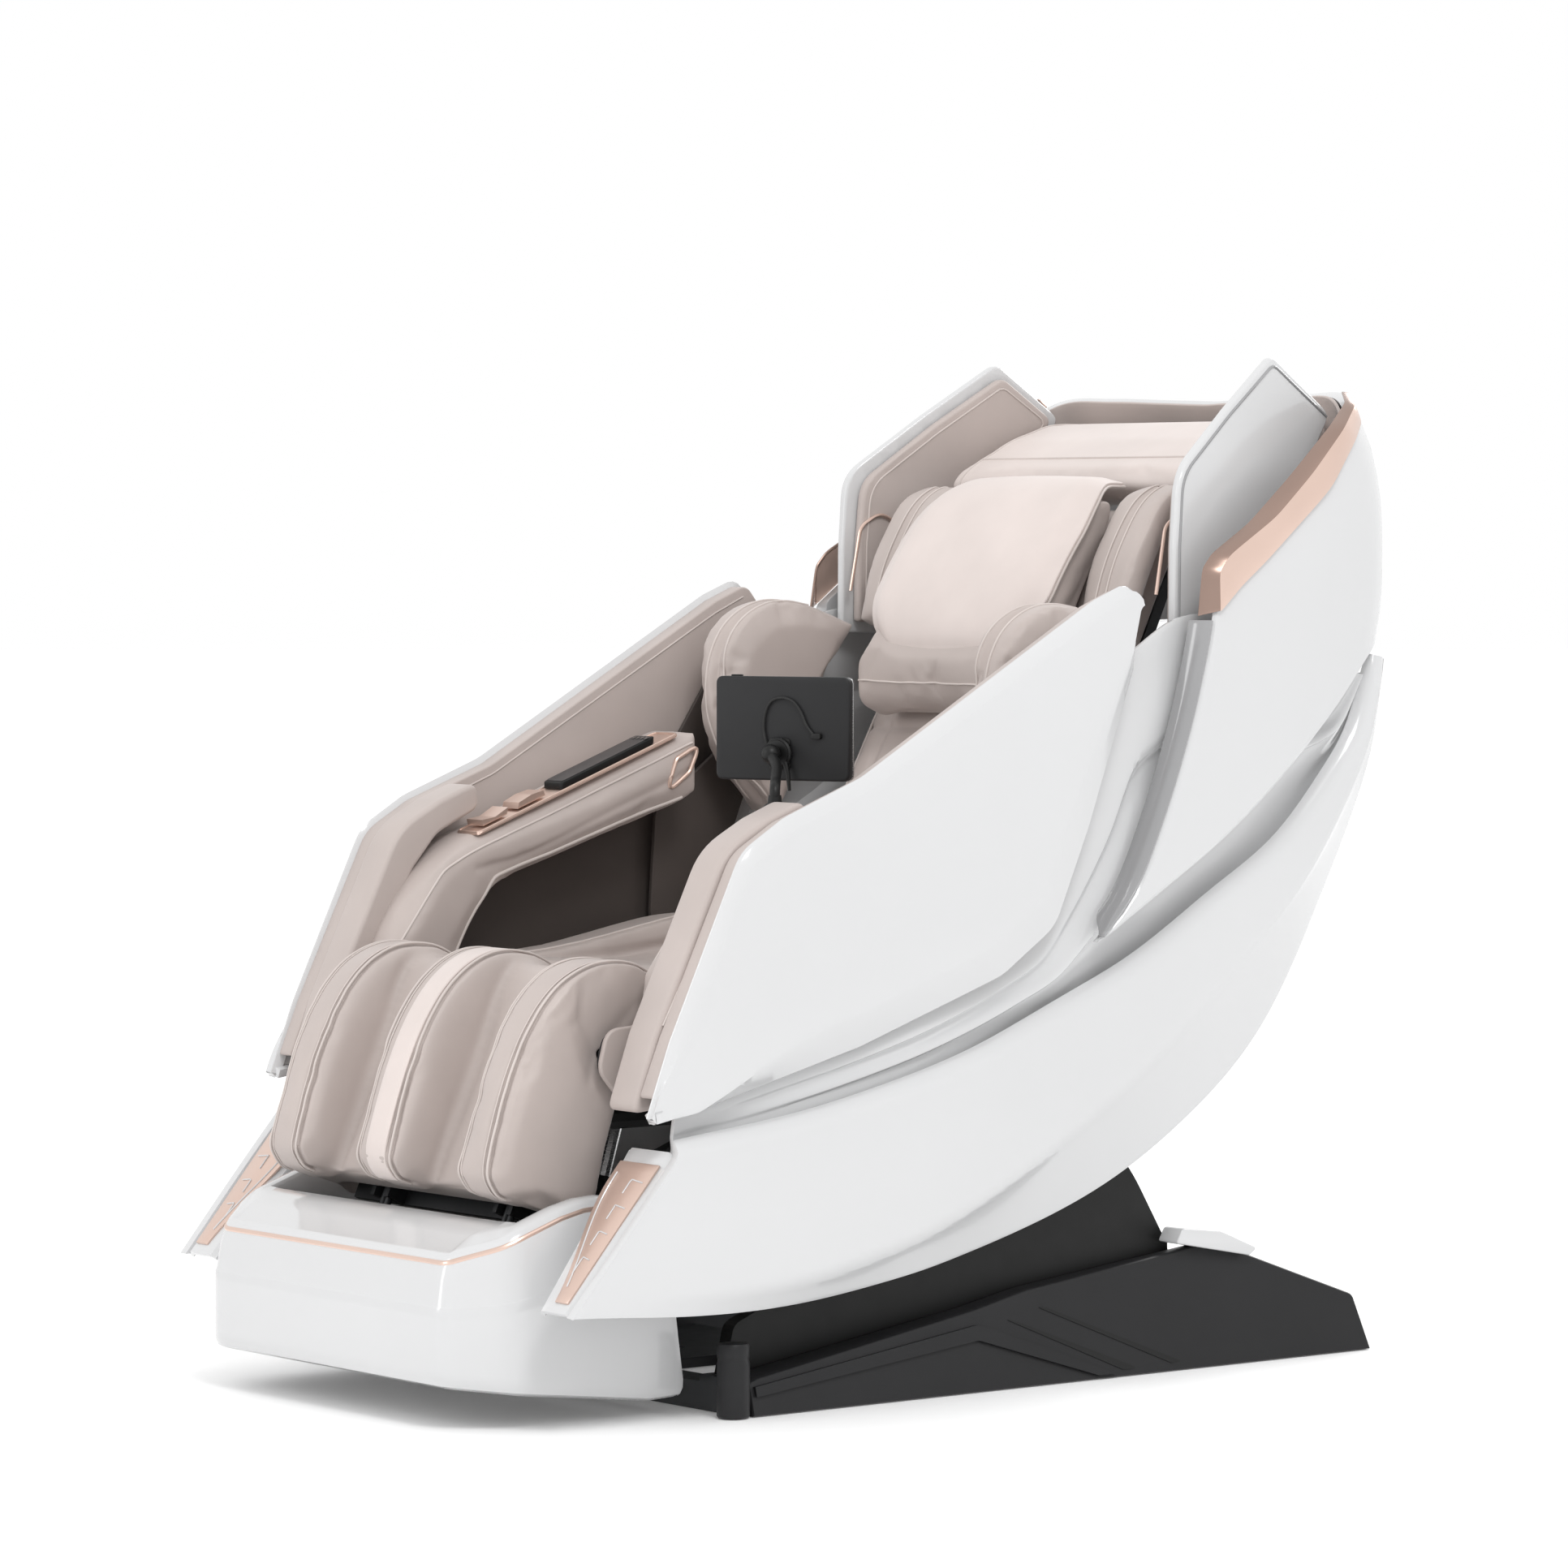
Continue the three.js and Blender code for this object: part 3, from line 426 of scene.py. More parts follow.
def face_out(obj):
    """Turns every face outward."""
    shape = bmesh.new()
    shape.from_mesh(obj.data)
    bmesh.ops.recalc_face_normals(shape, faces=shape.faces)
    shape.to_mesh(obj.data)
    shape.free()
    return obj


def sheet_object(name, rows, thickness, bevel=1.2, segments=2, angle=40):
    """A wall of that thickness behind a grid of points, with bevelled edges. rows[i][j] are points."""
    nu, nv = len(rows), len(rows[0])
    verts = [p for row in rows for p in row]
    faces = [
        (i * nv + j, (i + 1) * nv + j, (i + 1) * nv + j + 1, i * nv + j + 1)
        for i in range(nu - 1) for j in range(nv - 1)
    ]
    obj = new_object(name, verts, faces)
    wall = obj.modifiers.new("wall", "SOLIDIFY")
    wall.thickness = thickness * MM
    wall.offset = -1
    wall.use_even_offset = False
    bake(obj)
    face_out(obj)
    if bevel:
        soften(obj, bevel, segments, angle)
    return obj


def soften(obj, width, segments, angle):
    """Bevels the edges sharper than the angle."""
    edge = obj.modifiers.new("edge", "BEVEL")
    edge.width = width * MM
    edge.segments = segments
    edge.limit_method = "ANGLE"
    edge.angle_limit = math.radians(angle)
    edge.use_clamp_overlap = True
    edge.harden_normals = False
    return bake(obj)


def plate(name, outline, x_low, x_high, bevel, step=0, shape=None, segments=3):
    """A side outline given thickness along X, edges bevelled, then cut to a grid and reshaped."""
    count = len(outline)
    verts = [(x_low, p[0], p[1]) for p in outline] + [(x_high, p[0], p[1]) for p in outline]
    faces = [tuple(range(count)), tuple(range(2 * count - 1, count - 1, -1))]
    faces += [(i, (i + 1) % count, count + (i + 1) % count, count + i) for i in range(count)]
    obj = face_out(new_object(name, verts, faces))
    body = bmesh.new()
    body.from_mesh(obj.data)
    rim = [e for e in body.edges if abs(e.verts[0].co.x - e.verts[1].co.x) < 1e-7]
    bmesh.ops.bevel(
        body, geom=rim, offset=bevel * MM, segments=segments, profile=0.5, affect="EDGES",
        clamp_overlap=True,
    )
    if step:
        for axis in (1, 2):
            low = min(v.co[axis] for v in body.verts)
            high = max(v.co[axis] for v in body.verts)
            count = int((high - low) / (step * MM))
            for k in range(1, count):
                place, normal = Vector(), Vector()
                place[axis], normal[axis] = low + (high - low) * k / count, 1
                geometry = body.verts[:] + body.edges[:] + body.faces[:]
                bmesh.ops.bisect_plane(body, geom=geometry, plane_co=place, plane_no=normal)
    if shape:
        for vert in body.verts:
            vert.co = Vector(shape(*(vert.co / MM))) * MM
    body.to_mesh(obj.data)
    body.free()
    return obj


def mirrored(obj, name):
    """A copy of a left piece for the right side."""
    mesh = obj.data.copy()
    mesh.transform(Matrix.Diagonal((-1, 1, 1, 1)))
    mesh.flip_normals()
    twin = bpy.data.objects.new(name, mesh)
    link(twin)
    return twin


def pair(obj, name, body, material, *stems, angle=35):
    """Finishes a left piece and its mirror; stems are CAD node names without their side."""
    twin = mirrored(obj, name + "_right")
    obj.name = name + "_left"
    finish_piece(obj, body, material, *(s + "_left" for s in stems), angle=angle)
    finish_piece(twin, body, material, *(s + "_right" for s in stems), angle=angle)
    return obj, twin


def tube(name, points, radius, sides=8, closed=False, taper=None):
    """A round bar along points in millimetres."""
    line = [Vector(p) for p in points]
    count = len(line)
    verts, faces = [], []
    side = None
    for i, point in enumerate(line):
        ahead = line[(i + 1) % count] if closed or i + 1 < count else point
        behind = line[i - 1] if closed or i > 0 else point
        along = (ahead - behind).normalized()
        if side is None:
            side = along.orthogonal().normalized()
        side = (side - along * side.dot(along)).normalized()
        up = along.cross(side)
        size = radius * (taper(i / (count - 1)) if taper else 1)
        for k in range(sides):
            angle = 2 * math.pi * k / sides
            verts.append(point + (side * math.cos(angle) + up * math.sin(angle)) * size)
    for i in range(count if closed else count - 1):
        for k in range(sides):
            a, b = i * sides + k, i * sides + (k + 1) % sides
            c, d = (a + sides) % len(verts), (b + sides) % len(verts)
            faces.append((a, b, d, c))
    if not closed:
        faces += [tuple(range(sides - 1, -1, -1)), tuple(range(len(verts) - sides, len(verts)))]
    return face_out(new_object(name, verts, faces))


def revolved(name, profile, place, axis="Z", sides=40):
    """A turned part: profile is [radius, height] pairs along the axis."""
    verts, faces = [], []
    for radius, height in profile:
        for k in range(sides):
            angle = 2 * math.pi * k / sides
            c, s = radius * math.cos(angle), radius * math.sin(angle)
            verts.append((c, s, height) if axis == "Z" else (height, c, s))
    for i in range(len(profile) - 1):
        for k in range(sides):
            n = (k + 1) % sides
            faces.append((i * sides + k, i * sides + n, (i + 1) * sides + n, (i + 1) * sides + k))
    faces += [tuple(range(sides)), tuple(range((len(profile) - 1) * sides, len(profile) * sides))]
    return face_out(new_object(name, [Vector(v) + Vector(place) for v in verts], faces))


# ---- hard shells ----

def hull_x(y):
    """The shells' half width, drawn in towards the rear."""
    return HALF_WIDTH - 35 * smoothstep(y, -120, 180)


ridge = side_spline([
    (-445, 306), (-258, 330), (-95, 365), (45, 403), (236, 474), (368, 548), (472, 610), (544, 678),
    (596, 741), (632, 830),
])
keel = side_spline([
    (-593, 135), (-422, 128), (-238, 133), (-36, 160), (176, 208), (329, 284), (454, 385), (555, 544),
    (622, 706), (640, 826),
])


def make_lower_shell():
    """Crescent shell: bright rounded ridge, a full upper face, then a crease that turns under."""
    stations = 90
    tops, feet = by_length(ridge, stations), by_length(keel, stations)
    across = [0, 0.012, 0.03, 0.055, *np.linspace(0.1, 1, 40)]
    rows = []
    for i in range(stations):
        u = i / (stations - 1)
        top, foot = tops[i], feet[i]
        tip = smoothstep(u, 0.8, 1)
        depth = (foot - top).length
        row = []
        for v in across:
            point = top.lerp(foot, v)
            edge = 9 * max(0, 1 - v * depth / 9) ** 2
            swell = 2.0 * math.sin(math.pi * v) * (1 - tip)
            fold = mix(0.9, 0.4, smoothstep(u, 0.1, 0.75))
            past = max(0.0, v - fold) / (1.02 - fold)
            under = 34 * past ** 0.8 * smoothstep(u, 0.02, 0.3) * (1 - 0.7 * tip)
            point.x = hull_x(point.y) - edge - under - 2.4 + swell - 5 * tip
            row.append(point)
        rows.append(row)
    shell = sheet_object("lower_shell", rows, SHELL_WALL - 2, 2.2, 3)
    pair(shell, "lower_shell_skin", "seat", WHITE, "lower_shell")

    # the flat nose that closes the shell in front, and the plated inset on it
    top, foot = ridge(0), keel(0)
    down = (foot - top).normalized()
    out = Vector((0, -down.z, down.y))
    if out.y > 0:
        out = -out
    length = (foot - top).length

    def nose_point(x, t, lift):
        point = top + down * (t * length) + out * lift
        point.x = x
        return point

    nose = []
    for t in np.linspace(0, 1, 12):
        nose.append([
            nose_point(mix(mix(290, 322, t), 377.5, s), mix(0.012, 0.985, t), 0.6 - 5 * (s > 0.9 or s < 0.1))
            for s in (0, 0.03, 0.12, 0.5, 0.88, 0.97, 1)
        ])
    pair(sheet_object("nose", nose, 6, 1.5, 3), "shell_nose", "seat", WHITE)

    def inner_x(t):
        return mix(299, 346, smoothstep(t, 0.2, 1.0))

    inset = [
        [nose_point(mix(inner_x(t), 370 - 2 * t, s), t, 3.2) for s in (0, 0.5, 1)]
        for t in np.linspace(0.1, 0.93, 16)
    ]
    pair(sheet_object("inset", inset, 3, 0.8, 2), "inset_plate_skin", "seat", ROSE, "inset_plate")
    groove = [nose_point(inner_x(t) + 9, t, 3.6) for t in np.linspace(0.17, 0.84, 24)]
    pair(tube("groove", groove, 1.0, 6), "inset_line", "seat", WHITE)
    for k in range(4):
        t = 0.2 + 0.155 * k
        outer, inner = 362 - 1.5 * k, 362 - 1.5 * k - 22 + 3 * k
        dash = [nose_point(x, u, 3.6) for x, u in ((outer, t + 0.012), (inner, t), (inner, t + 0.085))]
        pair(tube("dash", evenly(dash, 9), 0.9, 6), f"inset_dash_{k}", "seat", WHITE)


band_top = side_spline([
    (-425, 348), (-338, 376), (-177, 416), (-54, 454), (29, 486), (80, 515), (125, 590), (180, 700),
    (226, 822), (262, 846), (330, 880), (420, 872), (470, 800), (540, 772), (596, 812),
])
band_foot = side_spline([
    (-432, 300), (-258, 320), (-95, 355), (45, 393), (120, 420), (180, 443), (236, 466), (290, 496),
    (340, 522), (368, 540), (472, 602), (540, 666), (592, 728), (628, 806),
])


def make_side_shell():
    """The channelled band between the arm and the crescent, running up behind the arm."""
    stations = 110
    across = np.linspace(0, 1, 51)
    rows = []
    for i in range(stations):
        u = i / (stations - 1)
        foot, top = band_foot(u), band_top(u)
        reach = (top - foot).length
        row = []
        for v in across:
            point = foot.lerp(top, v)
            tucked = hull_x(point.y) - SHELL_WALL - 8
            open_x = mix(354, 340, smoothstep(point.y, -120, 90))
            x = mix(tucked, open_x, smoothstep(v, 0.05, 0.4))
            folds = smoothstep(u, 0.02, 0.2) * smoothstep(reach, 25, 80)
            x += folds * (
                7 * smoothstep(v, 0.36, 0.4) - 11 * smoothstep(v, 0.4, 0.6)
                + 8 * smoothstep(v, 0.62, 0.66) - 7 * smoothstep(v, 0.66, 0.92)
            )
            point.x = x - 2.5
            row.append(point)
        rows.append(row)
    band = sheet_object("side_shell", rows, 6, 1.2, 2)
    pair(band, "side_shell_skin", "seat", WHITE, "side_shell")


def arm_top(y):
    """The height of the armrest's sloping top."""
    return 610 + (y + 285) * 0.3775


def make_arm_panel():
    """White outer panel: bevelled top edge with a second facet, and a wide facet along its lower edge."""
    over = side_line(0, [
        (-482, 335), (-448, 424, 60), (-350, 628, 60), (-290, 664, 60), (-180, 706, 90), (160, 900),
        (212, 921, 24), (233, 896),
    ])
    under = side_line(0, [
        (-480, 334), (-417, 343, 20), (-177, 405, 90), (29, 475, 90), (108, 528, 60), (158, 640, 90),
        (225, 818, 40), (233, 896),
    ])
    count = 120
    tops, feet = evenly(over, count), evenly(under, count)
    rows = []
    for i in range(1, count - 1):
        u = i / (count - 1)
        top, foot = tops[i], feet[i]
        reach = (top - foot).length
        facet = 46 * smoothstep(u, 0.0, 0.3) * (1 - 0.55 * smoothstep(u, 0.72, 1.0))
        lip = 15 * smoothstep(u, 0.02, 0.12) * (1 - smoothstep(u, 0.93, 1))
        # distances from the lower and the upper edge, and how far the face is drawn in there
        marks = [(0, -15.5), (1.5, -13.5), (facet * 0.5, -7.0), (max(facet - 3, 3), -0.6), (facet + 2, 0.0)]
        ends = [(lip + 2, 0.0), (lip, -0.4), (3.2, -7.0), (1.0, -9.0), (0, -11.5)]
        row = [(min(distance / reach, 0.45), x) for distance, x in marks]
        low, high = row[-1][0], 1 - min(ends[0][0] / reach, 0.45)
        row += [(mix(low, high, s), 0.0) for s in (0.2, 0.4, 0.6, 0.8)]
        row += [(1 - min(distance / reach, 0.45), x) for distance, x in ends]
        rows.append([foot.lerp(top, v) + Vector((HALF_WIDTH + x, 0, 0)) for v, x in row])
    panel = sheet_object("arm_panel", rows, 12, 0.8, 2)
    pair(panel, "arm_panel_skin", "seat", WHITE, "arm_panel", angle=28)


LINER_OUTLINE = [
    (-470, 362, 4), (-442, 428, 60), (-345, 624, 60), (-287, 658, 60), (-178, 699, 90), (162, 893),
    (210, 913, 16), (227, 892, 10), (219, 818, 20), (152, 644, 60), (100, 548, 30), (26, 498, 60),
    (-177, 428, 60), (-412, 366, 20),
]
CAVITY_OUTLINE = [
    (-345, 430, 30), (-290, 560, 40), (-150, 600, 40), (60, 672, 20), (196, 872, 20), (208, 820, 20),
    (150, 640, 60), (98, 520, 30), (24, 486, 40), (-340, 420, 20),
]
REAR_SHADE_OUTLINE = [
    (40, 492, 20), (104, 508, 20), (160, 590, 60), (222, 740, 60), (262, 838, 12), (232, 846, 12),
    (160, 720, 60), (50, 640, 20),
]
CHEEK_OUTLINE = [
    (-477, 344, 10), (-446, 430, 90), (-349, 629, 90), (-290, 661, 60), (-236, 682, 12), (-232, 650, 16),
    (-292, 622, 50), (-328, 580, 50), (-410, 412, 60), (-428, 350, 10),
]
HINGE_COVER_OUTLINE = [
    (-452, 384, 24), (-440, 430, 24), (-380, 434, 20), (-300, 440, 20), (-300, 345, 20), (-424, 352, 24),
]


def make_arm_liner():
    """The padded inner cheek of the arm, dark sheets of painted shade behind its cavity and the cover of the
    hinge.
    """
    liner = plate("arm_liner", rounded(LINER_OUTLINE, 6), 342.5, 367, 5)
    pair(liner, "arm_liner_pad", "seat", TAUPE, "arm_liner")
    # dark sheets of painted shade in the arm's cavity and behind its rear
    lining = plate("lining", rounded(CAVITY_OUTLINE, 5), 336.5, 341.8, 1)
    pair(lining, "cavity_painted_shade", "seat", TAUPE_DARK)
    rear = plate("rear_painted_shade", rounded(REAR_SHADE_OUTLINE, 5), 317, 323, 1)
    pair(rear, "rear_painted_shade", "seat", TAUPE_DARK)
    cheek = plate("arm_cheek", rounded(CHEEK_OUTLINE, 6), 290, 341, 9, segments=5)
    pair(cheek, "arm_cheek", "seat", TAUPE, angle=60)
    hinge_cover = plate("hinge_cover", rounded(HINGE_COVER_OUTLINE, 6), 239, 246, 3, segments=4)
    pair(hinge_cover, "hinge_cover", "seat", TAUPE, angle=60)
    seam = side_line(342, [
        (-436, 440), (-340, 612, 60), (-284, 646, 60), (-176, 688, 90), (160, 878), (204, 898),
    ])
    pair(tube("seam", evenly(seam, 90), 1.1, 6), "liner_piping", "seat", PIPING)


# ---- backrest shell, strips and wings ----

shell_foot = spline([
    (380, 166, 508), (380, 260, 563), (380, 366, 628), (379, 453, 695), (374, 530, 764), (361, 590, 818),
    (338, 634, 846), (250, 700, 858), (125, 730, 866), (0, 738, 868),
])
shell_top = spline([
    (376, 343, 884), (373, 384, 916), (370, 427, 946), (363, 532, 1030), (345, 588, 1088), (318, 622, 1112),
    (262, 656, 1144), (180, 670, 1146), (90, 680, 1143), (0, 683, 1140),
])
shell_front = spline([
    (380, 166, 508), (380, 220, 566), (380, 262, 646), (380, 302, 746), (379, 327, 826), (376, 343, 884),
])
shell_spine = spline([(0, 738, 868), (0, 748, 930), (0, 745, 1010), (0, 722, 1082), (0, 683, 1140)])


def back_patch(u, v):
    """The rear shell's left half between its four border curves."""
    point = shell_foot(u) * (1 - v) + shell_top(u) * v + shell_front(v) * (1 - u) + shell_spine(v) * u
    point -= shell_foot(0) * (1 - u) * (1 - v) + shell_foot(1) * u * (1 - v)
    return point - shell_top(0) * (1 - u) * v - shell_top(1) * u * v


def make_rear_shell():
    count = 150
    across = [0, 0.012, 0.04, 0.1, 0.18, 0.28, 0.38, 0.48, 0.58, 0.68, 0.78, 0.88, 0.95, 0.985, 1]
    rows = []
    for i in range(count):
        w = i / (count - 1)
        u = 1 - abs(2 * w - 1)
        row = []
        for v in across:
            point = back_patch(u, v)
            point.x -= 3.5 * bell(v, 0, 0.02) * (1 - smoothstep(u, 0.3, 0.5))
            point.x -= 4 * max(0, 1 - u / 0.018) ** 2 + 1.0
            if w > 0.5:
                point.x = -point.x
            row.append(point)
        rows.append(row)
    shell = sheet_object("rear_shell_skin", rows, 14, 2, 3)
    finish_piece(shell, "backrest", WHITE, "rear_shell")

    # the padded lining inside its crown
    lining = []
    for w in np.linspace(0.3, 0.7, 60):
        u = 1 - abs(2 * w - 1)
        row = []
        for v in (0.62, 0.72, 0.82, 0.9, 0.955, 0.985):
            point = back_patch(u, v)
            point.x *= 1 if w < 0.5 else -1
            inward = Vector((-point.x, 430 - point.y, 0)).normalized()
            row.append(point + inward * mix(34, 19, smoothstep(v, 0.62, 0.985)))
        lining.append(row)
    finish_piece(sheet_object("shell_lining", lining, 4, 1.2, 3), "backrest", TAUPE, angle=60)

    # the grey facet down the panel's front edge, painted grey as shade in a darker copy of the white plastic
    facet = []
    for v in np.linspace(0.02, 0.97, 60):
        edge = shell_front(v)
        width = 20 * smoothstep(v, 0, 0.12)
        facet.append([
            Vector((edge.x - 6 - 1.15 * width, edge.y - 2 - 0.5 * width, edge.z)),
            Vector((edge.x - 4 - 0.5 * width, edge.y - 2 - 0.3 * width, edge.z)),
            Vector((edge.x - 1.2, edge.y - 0.6, edge.z)),
        ])
    pair(sheet_object("edge", facet, 3, 0.5, 2), "panel_edge", "backrest", WHITE_SHADE)


def runs(points, steps=9):
    """Straight runs between the points, the same number of steps in each, eased a little at the corners."""
    knots = [Vector(p) for p in points]
    line = [a.lerp(b, k / steps) for a, b in zip(knots, knots[1:]) for k in range(steps)] + [knots[-1]]
    for _ in range(3):
        line = [line[0], *((a + 2 * b + c) / 4 for a, b, c in zip(line, line[1:], line[2:])), line[-1]]
    return line


def make_trim_strip():
    """Two satin facets along the shell's top edge: an upper one in a darker copy of the plating as painted
    shade, and a light outer one.
    """
    lower = runs([
        (380, 350, 888), (380, 356, 893), (377, 384, 916), (374, 427, 946), (370, 532, 1030),
        (352, 588, 1088), (326, 622, 1110), (282, 648, 1138),
    ])
    border = runs([
        (380, 347, 887), (379, 347, 931), (378, 364, 952), (373, 441, 996), (367, 505, 1048),
        (361, 559, 1099), (334, 604, 1130), (284, 638, 1146),
    ])
    upper = runs([
        (364, 326, 881), (362, 334, 936), (361, 350, 954), (357, 411, 989), (350, 481, 1043),
        (342, 555, 1105), (318, 602, 1134), (280, 632, 1147),
    ])
    light, dark = [], []
    for a, b, c in zip(lower, border, upper):
        light.append([a, a.lerp(b, 0.5) + Vector((0.8, 0, 0)), b])
        dark.append([b, b.lerp(c, 0.5), c])
    pair(sheet_object("strip", light, 3, 0.7, 2), "trim_strip_skin", "backrest", ROSE, "trim_strip")
    pair(sheet_object("strip_facet", dark, 2.5, 0.6, 2), "trim_strip_facet", "backrest", ROSE_DEEP)


def wing_lean(y, z):
    """The X of the wing's outer face, which leans in towards the rear and the top."""
    return 316 - 0.165 * max(0, y - 338) - 0.16 * max(0, z - 1049)


def on_wing(depth, points):
    """An open side outline laid on the wing, that far in from its outer face."""
    return [Vector((wing_lean(p.y, p.z) - depth, p.y, p.z)) for p in side_line(0, points)]


WING_OUTLINE = [
    (331, 852, 6), (332, 960, 200), (338, 1049, 60), (440, 1124, 200), (536, 1189, 16), (637, 1120, 14),
    (560, 1030, 60), (450, 930, 60), (398, 852, 10),
]
WING_PAD_OUTLINE = [
    (344, 866, 6), (345, 960, 200), (352, 1040, 50), (446, 1112, 200), (536, 1172, 16), (616, 1118, 14),
    (548, 1040, 60), (440, 944, 60), (388, 866, 10),
]


def make_wings():
    def leaning(depth):
        return lambda x, y, z: (x - depth + wing_lean(y, z), y, z)

    wing = plate("wing", rounded(WING_OUTLINE, 6), -12, 0, 3.5, 18, leaning(0))
    pair(wing, "wing_panel", "backrest", WHITE, "wing")
    # a line of painted shade along the wing's rim, in the darker copy of the white plastic
    rim = on_wing(-0.2, [
        (339, 870), (340, 960, 200), (346, 1045, 50), (443, 1116, 200), (536, 1178, 12), (628, 1117),
    ])
    pair(tube("rim", evenly(rim, 90), 1.8, 8), "wing_rim_line", "backrest", WHITE_SHADE)
    pad = plate("wing_pad", rounded(WING_PAD_OUTLINE, 6), -13, 0, 5, 18, leaning(14.5))
    pair(pad, "wing_pad_skin", "backrest", TAUPE, "wing_pad")
    seam = on_wing(28, [
        (354, 880), (355, 960, 200), (361, 1034, 50), (449, 1101, 200), (536, 1160, 12), (604, 1116, 10),
        (548, 1050, 60),
    ])
    pair(tube("wing_seam", evenly(seam, 90), 1.1, 6), "wing_piping", "backrest", PIPING)
    edging = on_wing(30, [(330, 905), (345, 985, 20), (372, 1002, 20), (404, 985, 20), (398, 915)])
    pair(tube("speaker", evenly(edging, 60), 2.2, 8), "speaker_edging", "backrest", ROSE)


# ---- padded pieces: remeshed from their solids and inflated as cloth ----

INFLATE_FRAMES = 20
PIPING_LIFT = 0.4
waiting = []


def pad_from(node, name, shrink, voxel, cap, pressure=4):
    """A pad that starts as a copy of its CAD solid."""
    obj = bpy.data.objects.new(name, nodes[node].data.copy())
    link(obj)
    return inflate_later(obj, shrink, voxel, cap, pressure)


def inflate_later(obj, shrink, voxel, cap, pressure, smooth=6):
    """Remeshes and shrinks a pad, which then waits for the cloth simulation. The cap limits its swelling."""
    remesh = obj.modifiers.new("even", "REMESH")
    remesh.mode = "VOXEL"
    remesh.voxel_size = voxel * MM
    ease = obj.modifiers.new("ease", "SMOOTH")
    ease.factor = 0.5
    ease.iterations = smooth
    bake(obj)
    normals = [v.normal.copy() for v in obj.data.vertices]
    for vert, normal in zip(obj.data.vertices, normals):
        vert.co -= normal * shrink * MM
    waiting.append((obj, [v.co.copy() for v in obj.data.vertices], cap, pressure))
    return obj


def inflate_all():
    """Runs every waiting pad through one cloth simulation, capped, then smooths and refines it."""
    scene = bpy.context.scene
    for obj, _, _, pressure in waiting:
        cloth = obj.modifiers.new("cloth", "CLOTH")
        cloth.settings.quality = 4
        cloth.settings.use_pressure = True
        cloth.settings.uniform_pressure_force = pressure
        cloth.settings.tension_stiffness = 15
        cloth.settings.compression_stiffness = 15
        cloth.settings.bending_stiffness = 0.5
        cloth.settings.effector_weights.gravity = 0
        cloth.collision_settings.use_collision = False
        cloth.point_cache.frame_start = 1
        cloth.point_cache.frame_end = INFLATE_FRAMES
    for step in range(1, INFLATE_FRAMES + 1):
        scene.frame_set(step)
    for obj, start, cap, _ in waiting:
        bake(obj)
        for vert, origin in zip(obj.data.vertices, start):
            moved = vert.co - origin
            if moved.length > cap * MM:
                vert.co = origin + moved.normalized() * cap * MM
        ease = obj.modifiers.new("ease", "SMOOTH")
        ease.factor = 0.5
        ease.iterations = 3
        fine = obj.modifiers.new("fine", "SUBSURF")
        fine.levels = fine.render_levels = 1
        bake(obj)
    scene.frame_set(1)


trees = {}


def surface_of(obj):
    """The pad's surface for nearest-point lookups, made once per pad."""
    if obj.data.name not in trees:
        shape = bmesh.new()
        shape.from_mesh(obj.data)
        trees[obj.data.name] = BVHTree.FromBMesh(shape)
        shape.free()
    return trees[obj.data.name]


def hugging(obj, points, count, lift=0.0):
    """Points in millimetres moved onto the pad's surface, then lifted off it."""
    tree = surface_of(obj)
    result = []
    for point in evenly([Vector(p) for p in points], count):
        place, normal, _, _ = tree.find_nearest(point * MM)
        result.append((place + normal * lift * MM) / MM)
    for _ in range(2):
        middle = [(a + 2 * b + c) / 4 for a, b, c in zip(result, result[1:], result[2:])]
        result = [result[0], *middle, result[-1]]
    return result


def groove(obj, points, depth, width, count=100):
    """Presses a sewn channel into a pad along points in millimetres."""
    line = np.array([list(p) for p in hugging(obj, points, count)])
    size = len(obj.data.vertices)
    coords, normals = np.zeros(size * 3), np.zeros(size * 3)
    obj.data.vertices.foreach_get("co", coords)
    obj.data.vertices.foreach_get("normal", normals)
    coords, normals = coords.reshape(-1, 3) / MM, normals.reshape(-1, 3)
    margin = 3 * width
    near = np.where(np.all((coords > line.min(0) - margin) & (coords < line.max(0) + margin), axis=1))[0]
    nearest = np.full(len(near), 1e9)
    for start, end in zip(line[:-1], line[1:]):
        span = end - start
        apart = coords[near] - start
        t = np.clip(apart @ span / max(span @ span, 1e-9), 0, 1)
        nearest = np.minimum(nearest, ((apart - t[:, None] * span) ** 2).sum(1))
    coords[near] -= normals[near] * (depth * np.exp(-nearest / width ** 2))[:, None]
    obj.data.vertices.foreach_set("co", (coords * MM).ravel())
    obj.data.update()


def finish_pad(obj, body, material, *replaced, fill=0.7):
    finish_piece(obj, body, material, *replaced, angle=180)


def make_twin_pads(obj, name, body, material, stem, fill):
    """Finishes a left pad and its mirror, and gives back the left one."""
    twin = mirrored(obj, name + "_right")
    obj.name = name + "_left"
    finish_pad(obj, body, material, stem + "_left", fill=fill)
    finish_pad(twin, body, material, stem + "_right", fill=fill)
    return obj


def piping(obj, name, points, count, radius):
    """A round bead of piping that lies on a pad."""
    return tube(name, hugging(obj, points, count, PIPING_LIFT), radius, 8)


def pipe_pair(obj, name, body, points, count, radius):
    pair(piping(obj, name, points, count, radius), name, body, PIPING)


def pipe(obj, name, body, points, count, radius):
    finish_piece(piping(obj, name, points, count, radius), body, PIPING)


seat_pad = pad_from("seat_cushion", "seat_pad", 4, 6, 9)
back_skin = pad_from("back_pad", "back_pad_skin", 5, 6, 10)
shoulder = pad_from("shoulder_pad_left", "shoulder_pad_skin", 5, 4.5, 9, 5)
head_side = pad_from("head_pad_left", "head_pad_skin", 4, 4, 8, 5)
armrest = pad_from("armrest_left", "armrest_skin", 3, 5, 5, 2)
calf = pad_from("calf_pad", "calf_pad_skin", 4, 5, 8, 4)

